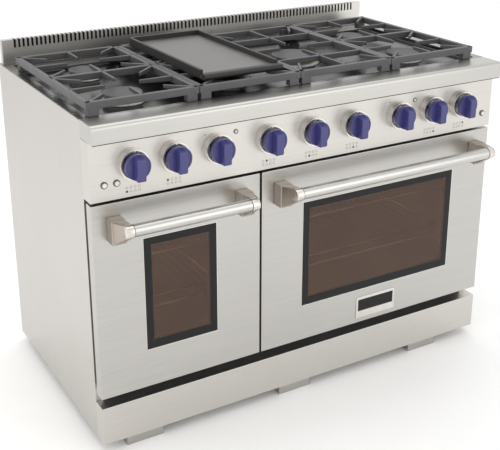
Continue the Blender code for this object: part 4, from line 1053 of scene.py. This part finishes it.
CORD_RADIUS = 0.0017
MOUTH_MARGIN = 0.008
frame_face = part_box("front_frame")[0].y
DOOR_THICKNESS = 0.030
INNER_INSET = 0.018
BORDER = 0.019
BORDER_FOOT = 0.023
HEEL_RADIUS = 0.012
TRIM = 0.0022
for side in ("left", "right"):
    low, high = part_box(f"oven_liner_{side}")
    y = frame_face - CORD_RADIUS - 0.0002
    x_ends = (low.x - MOUTH_MARGIN, high.x + MOUTH_MARGIN)
    z_ends = (low.z - MOUTH_MARGIN, high.z + MOUTH_MARGIN)
    bottom, top = z_ends[0] - CORD_RADIUS, z_ends[1] + CORD_RADIUS
    cords = [rod((x, y, bottom), (x, y, top), CORD_RADIUS, 10) for x in x_ends]
    cords += [rod((x_ends[0], y, z), (x_ends[1], y, z), CORD_RADIUS, 10) for z in z_ends]
    cords = joined(cords)
    smoothed()
    fixed(cords, f"woven_seal_{side}", seal_cord)

    body = f"door_{side}"
    low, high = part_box(f"door_shell_{side}")
    pane_low, pane_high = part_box(f"door_glass_{side}")
    slab_back = low.y + DOOR_THICKNESS
    heel = (slab_back - HEEL_RADIUS, low.z + HEEL_RADIUS)
    outline = [(low.y, low.z), (low.y, high.z), (slab_back, high.z)] + arc(heel, HEEL_RADIUS, 0, -90, 6)
    slab = drawn(outline, low.x, high.x)
    mouth_low = Vector((pane_low.x - 0.0006, low.y - 0.01, pane_low.z - 0.0006))
    mouth_high = Vector((pane_high.x + 0.0006, high.y + 0.01, pane_high.z + 0.0006))
    cut(slab, block(mouth_low, mouth_high))
    slots = []
    for end in ("left", "right"):
        hinge_low, hinge_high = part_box(f"door_hinge_{end}_{side}")
        clear = Vector((0.0004, 0.0015, 0.0015))
        reach = Vector((0, 0.02, -0.02))
        slot_low = hinge_low - clear + Vector((0, 0, reach.z))
        slots.append(block(slot_low, hinge_high + clear + Vector((0, reach.y, 0))))
    rounded(cut(slab, *slots), 0.0014, angle=50)
    fixed(slab, f"door_outer_pan_{side}", steel_level, body, [f"door_shell_{side}"])

    inset = Vector((INNER_INSET, 0, INNER_INSET))
    inner = block(Vector((low.x, slab_back, low.z)) + inset, high - inset)
    through_low = Vector((pane_low.x + 0.010, low.y, pane_low.z + 0.010))
    through_high = Vector((pane_high.x - 0.010, high.y + 0.01, pane_high.z - 0.010))
    cut(inner, block(through_low, through_high))
    rounded(inner, 0.002, angle=50)
    fixed(inner, f"door_inner_pan_{side}", oven_enamel, body)

    back_pane = block(
        (through_low.x + 0.0004, high.y - 0.006, through_low.z + 0.0004),
        (through_high.x - 0.0004, high.y - 0.002, through_high.z - 0.0004),
    )
    fixed(rounded(back_pane, 0.0006), f"door_inner_pane_{side}", clear_glass, body)

    pane = rounded(block(pane_low, pane_high), 0.0005)
    fixed(pane, f"door_outer_pane_{side}", window_glass, body, [f"door_glass_{side}"])
    front = pane_low.y - 0.00002
    ink = block((pane_low.x, pane_low.y - 0.00015, pane_low.z), (pane_high.x, front, pane_high.z))
    clear_low = (pane_low.x + BORDER, pane_low.y - 0.01, pane_low.z + BORDER_FOOT)
    clear_high = (pane_high.x - BORDER, pane_high.y + 0.01, pane_high.z - BORDER)
    cut(ink, block(clear_low, clear_high))
    fixed(ink, f"door_window_border_{side}", fired_black, body)
    rim = block(
        (pane_low.x - TRIM, pane_low.y - 0.0002, pane_low.z - TRIM),
        (pane_high.x + TRIM, low.y + 0.004, pane_high.z + TRIM),
    )
    cut(rim, block(pane_low + Vector((-0.0002, -0.01, -0.0002)), pane_high + Vector((0.0002, 0.02, 0.0002))))
    fixed(rounded(rim, 0.0003, 1), f"door_window_trim_{side}", bezel_steel, body)


# The handles. A ground stainless tube is held at each end by a cast bracket: a square foot with a step
# round it, a neck that narrows to a round nose, and a bright collar where the tube goes in.
# Satin nickel over zinc: warm grey, softly shiny.
nickel_casting = patchy(
    "zinc_casting_satin_nickel",
    {"Metallic": 1.0},
    ("A79D93", "B8AFA6"),
    0.002,
    detail=3.0,
    gloss=(0.30, 0.42),
)

# Pearl nickel: paler and smoother than the brackets.
collar_nickel = patchy(
    "zinc_casting_pearl_nickel", {"Metallic": 1.0, "Roughness": 0.28}, ("D6D0CA", "E2DCD7"), 0.002, detail=3.0
)

# Ground tube: one soft highlight runs along it.
bar_steel = brushed_steel("stainless_tube_ground", ("C0BEBA", "CAC8C5"), 0.30, (0.02, 0.006, 0.006))
FOOT_BLOCK = 0.033
FOOT_STEP = 0.0012
JOINT = 0.0012
FOOT_HEIGHT = 0.060
for side in ("left", "right"):
    body = f"door_{side}"
    bar_low, bar_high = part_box(f"handle_bar_{side}")
    axis = Vector(((bar_low.x + bar_high.x) / 2, (bar_low.y + bar_high.y) / 2, (bar_low.z + bar_high.z) / 2))
    bar = rod((bar_low.x, axis.y, axis.z), (bar_high.x, axis.y, axis.z), (bar_high.z - bar_low.z) / 2, 48)
    smoothed(45)
    fixed(bar, f"handle_tube_{side}", bar_steel, body, [f"handle_bar_{side}"])
    for end, inward in (("left", 1), ("right", -1)):
        node = f"handle_bracket_{end}_{side}"
        low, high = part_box(node)
        outer = low.x if inward > 0 else high.x
        inner = high.x if inward > 0 else low.x
        foot_low = Vector((low.x, high.y - FOOT_BLOCK, low.z))
        foot = block(foot_low, (high.x, high.y, low.z + FOOT_HEIGHT))
        use_modifier(foot, "BEVEL", width=0.0022, segments=3, limit_method="ANGLE")
        radius = axis.y - low.y
        neck_back = high.y - FOOT_BLOCK + 0.002
        outline = [(neck_back, low.z + FOOT_STEP), (neck_back, low.z + FOOT_HEIGHT - FOOT_STEP)]
        outline += arc((axis.y, axis.z), radius, 90, 255, 14)
        neck = drawn(outline, low.x + 0.002, high.x - 0.002)
        bpy.ops.object.mode_set(mode="EDIT")
        bpy.ops.mesh.select_mode(type="VERT")
        bpy.ops.mesh.select_all(action="DESELECT")
        bpy.ops.object.mode_set(mode="OBJECT")
        for point in neck.data.vertices:
            # all but the foot's end
            point.select = abs(point.co.x - outer) < 0.003 and point.co.y < neck_back - 0.01
        bpy.ops.object.mode_set(mode="EDIT")
        bpy.ops.transform.translate(value=(inward * 0.014, 0, 0))
        bpy.ops.object.mode_set(mode="OBJECT")
        use_modifier(neck, "BEVEL", width=0.003, segments=3, limit_method="ANGLE")
        bracket = joined([foot, neck])
        smoothed()
        use_modifier(bracket, "WEIGHTED_NORMAL", keep_sharp=True)
        fixed(bracket, f"cast_bracket_{end}_{side}", nickel_casting, body, [node])
        length = 0.022
        start = inner - inward * length
        profile = [(0, 0), (radius - 0.0040, 0), (radius - 0.0012, 0.0010), (radius, 0.0038)]
        profile += [(radius, length - JOINT - 0.0008), (radius - 0.0008, length - JOINT), (0, length - JOINT)]
        collar = spun(profile, (start, axis.y, axis.z), (inward, 0, 0), 48)
        smoothed(40)
        fixed(collar, f"collar_{end}_{side}", collar_nickel, body)
        groove = [(0, 0), (radius - 0.0010, 0), (radius - 0.0010, JOINT), (0, JOINT)]
        ring = spun(groove, (inner - inward * JOINT, axis.y, axis.z), (inward, 0, 0), 48)
        smoothed(40)
        fixed(ring, f"joint_ring_{end}_{side}", frame_enamel, body)


# The name plate. A thin stainless plate with a black enamelled panel let into it.
# The panel is left blank.
low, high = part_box("door_shell_right")
PLATE_LOW = Vector((0.158, low.y - 0.0022, 0.174))
PLATE_HIGH = Vector((0.292, low.y, 0.238))
plate = rounded(block(PLATE_LOW, PLATE_HIGH), 0.0008)
fixed(plate, "name_plate", bezel_steel, "door_right")
field = block(PLATE_LOW + Vector((0.006, -0.0004, 0.021)), PLATE_HIGH + Vector((-0.006, -0.0018, -0.008)))
fixed(rounded(field, 0.0002, 1), "name_plate_field", fired_black, "door_right")


# The door hinges. Each is a zinc-coated bracket on the frame.
# It has a cross pin that the door turns on.
for side in ("left", "right"):
    for end in ("left", "right"):
        dress(f"door_hinge_{end}_{side}", zinc_sheet)

low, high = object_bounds()
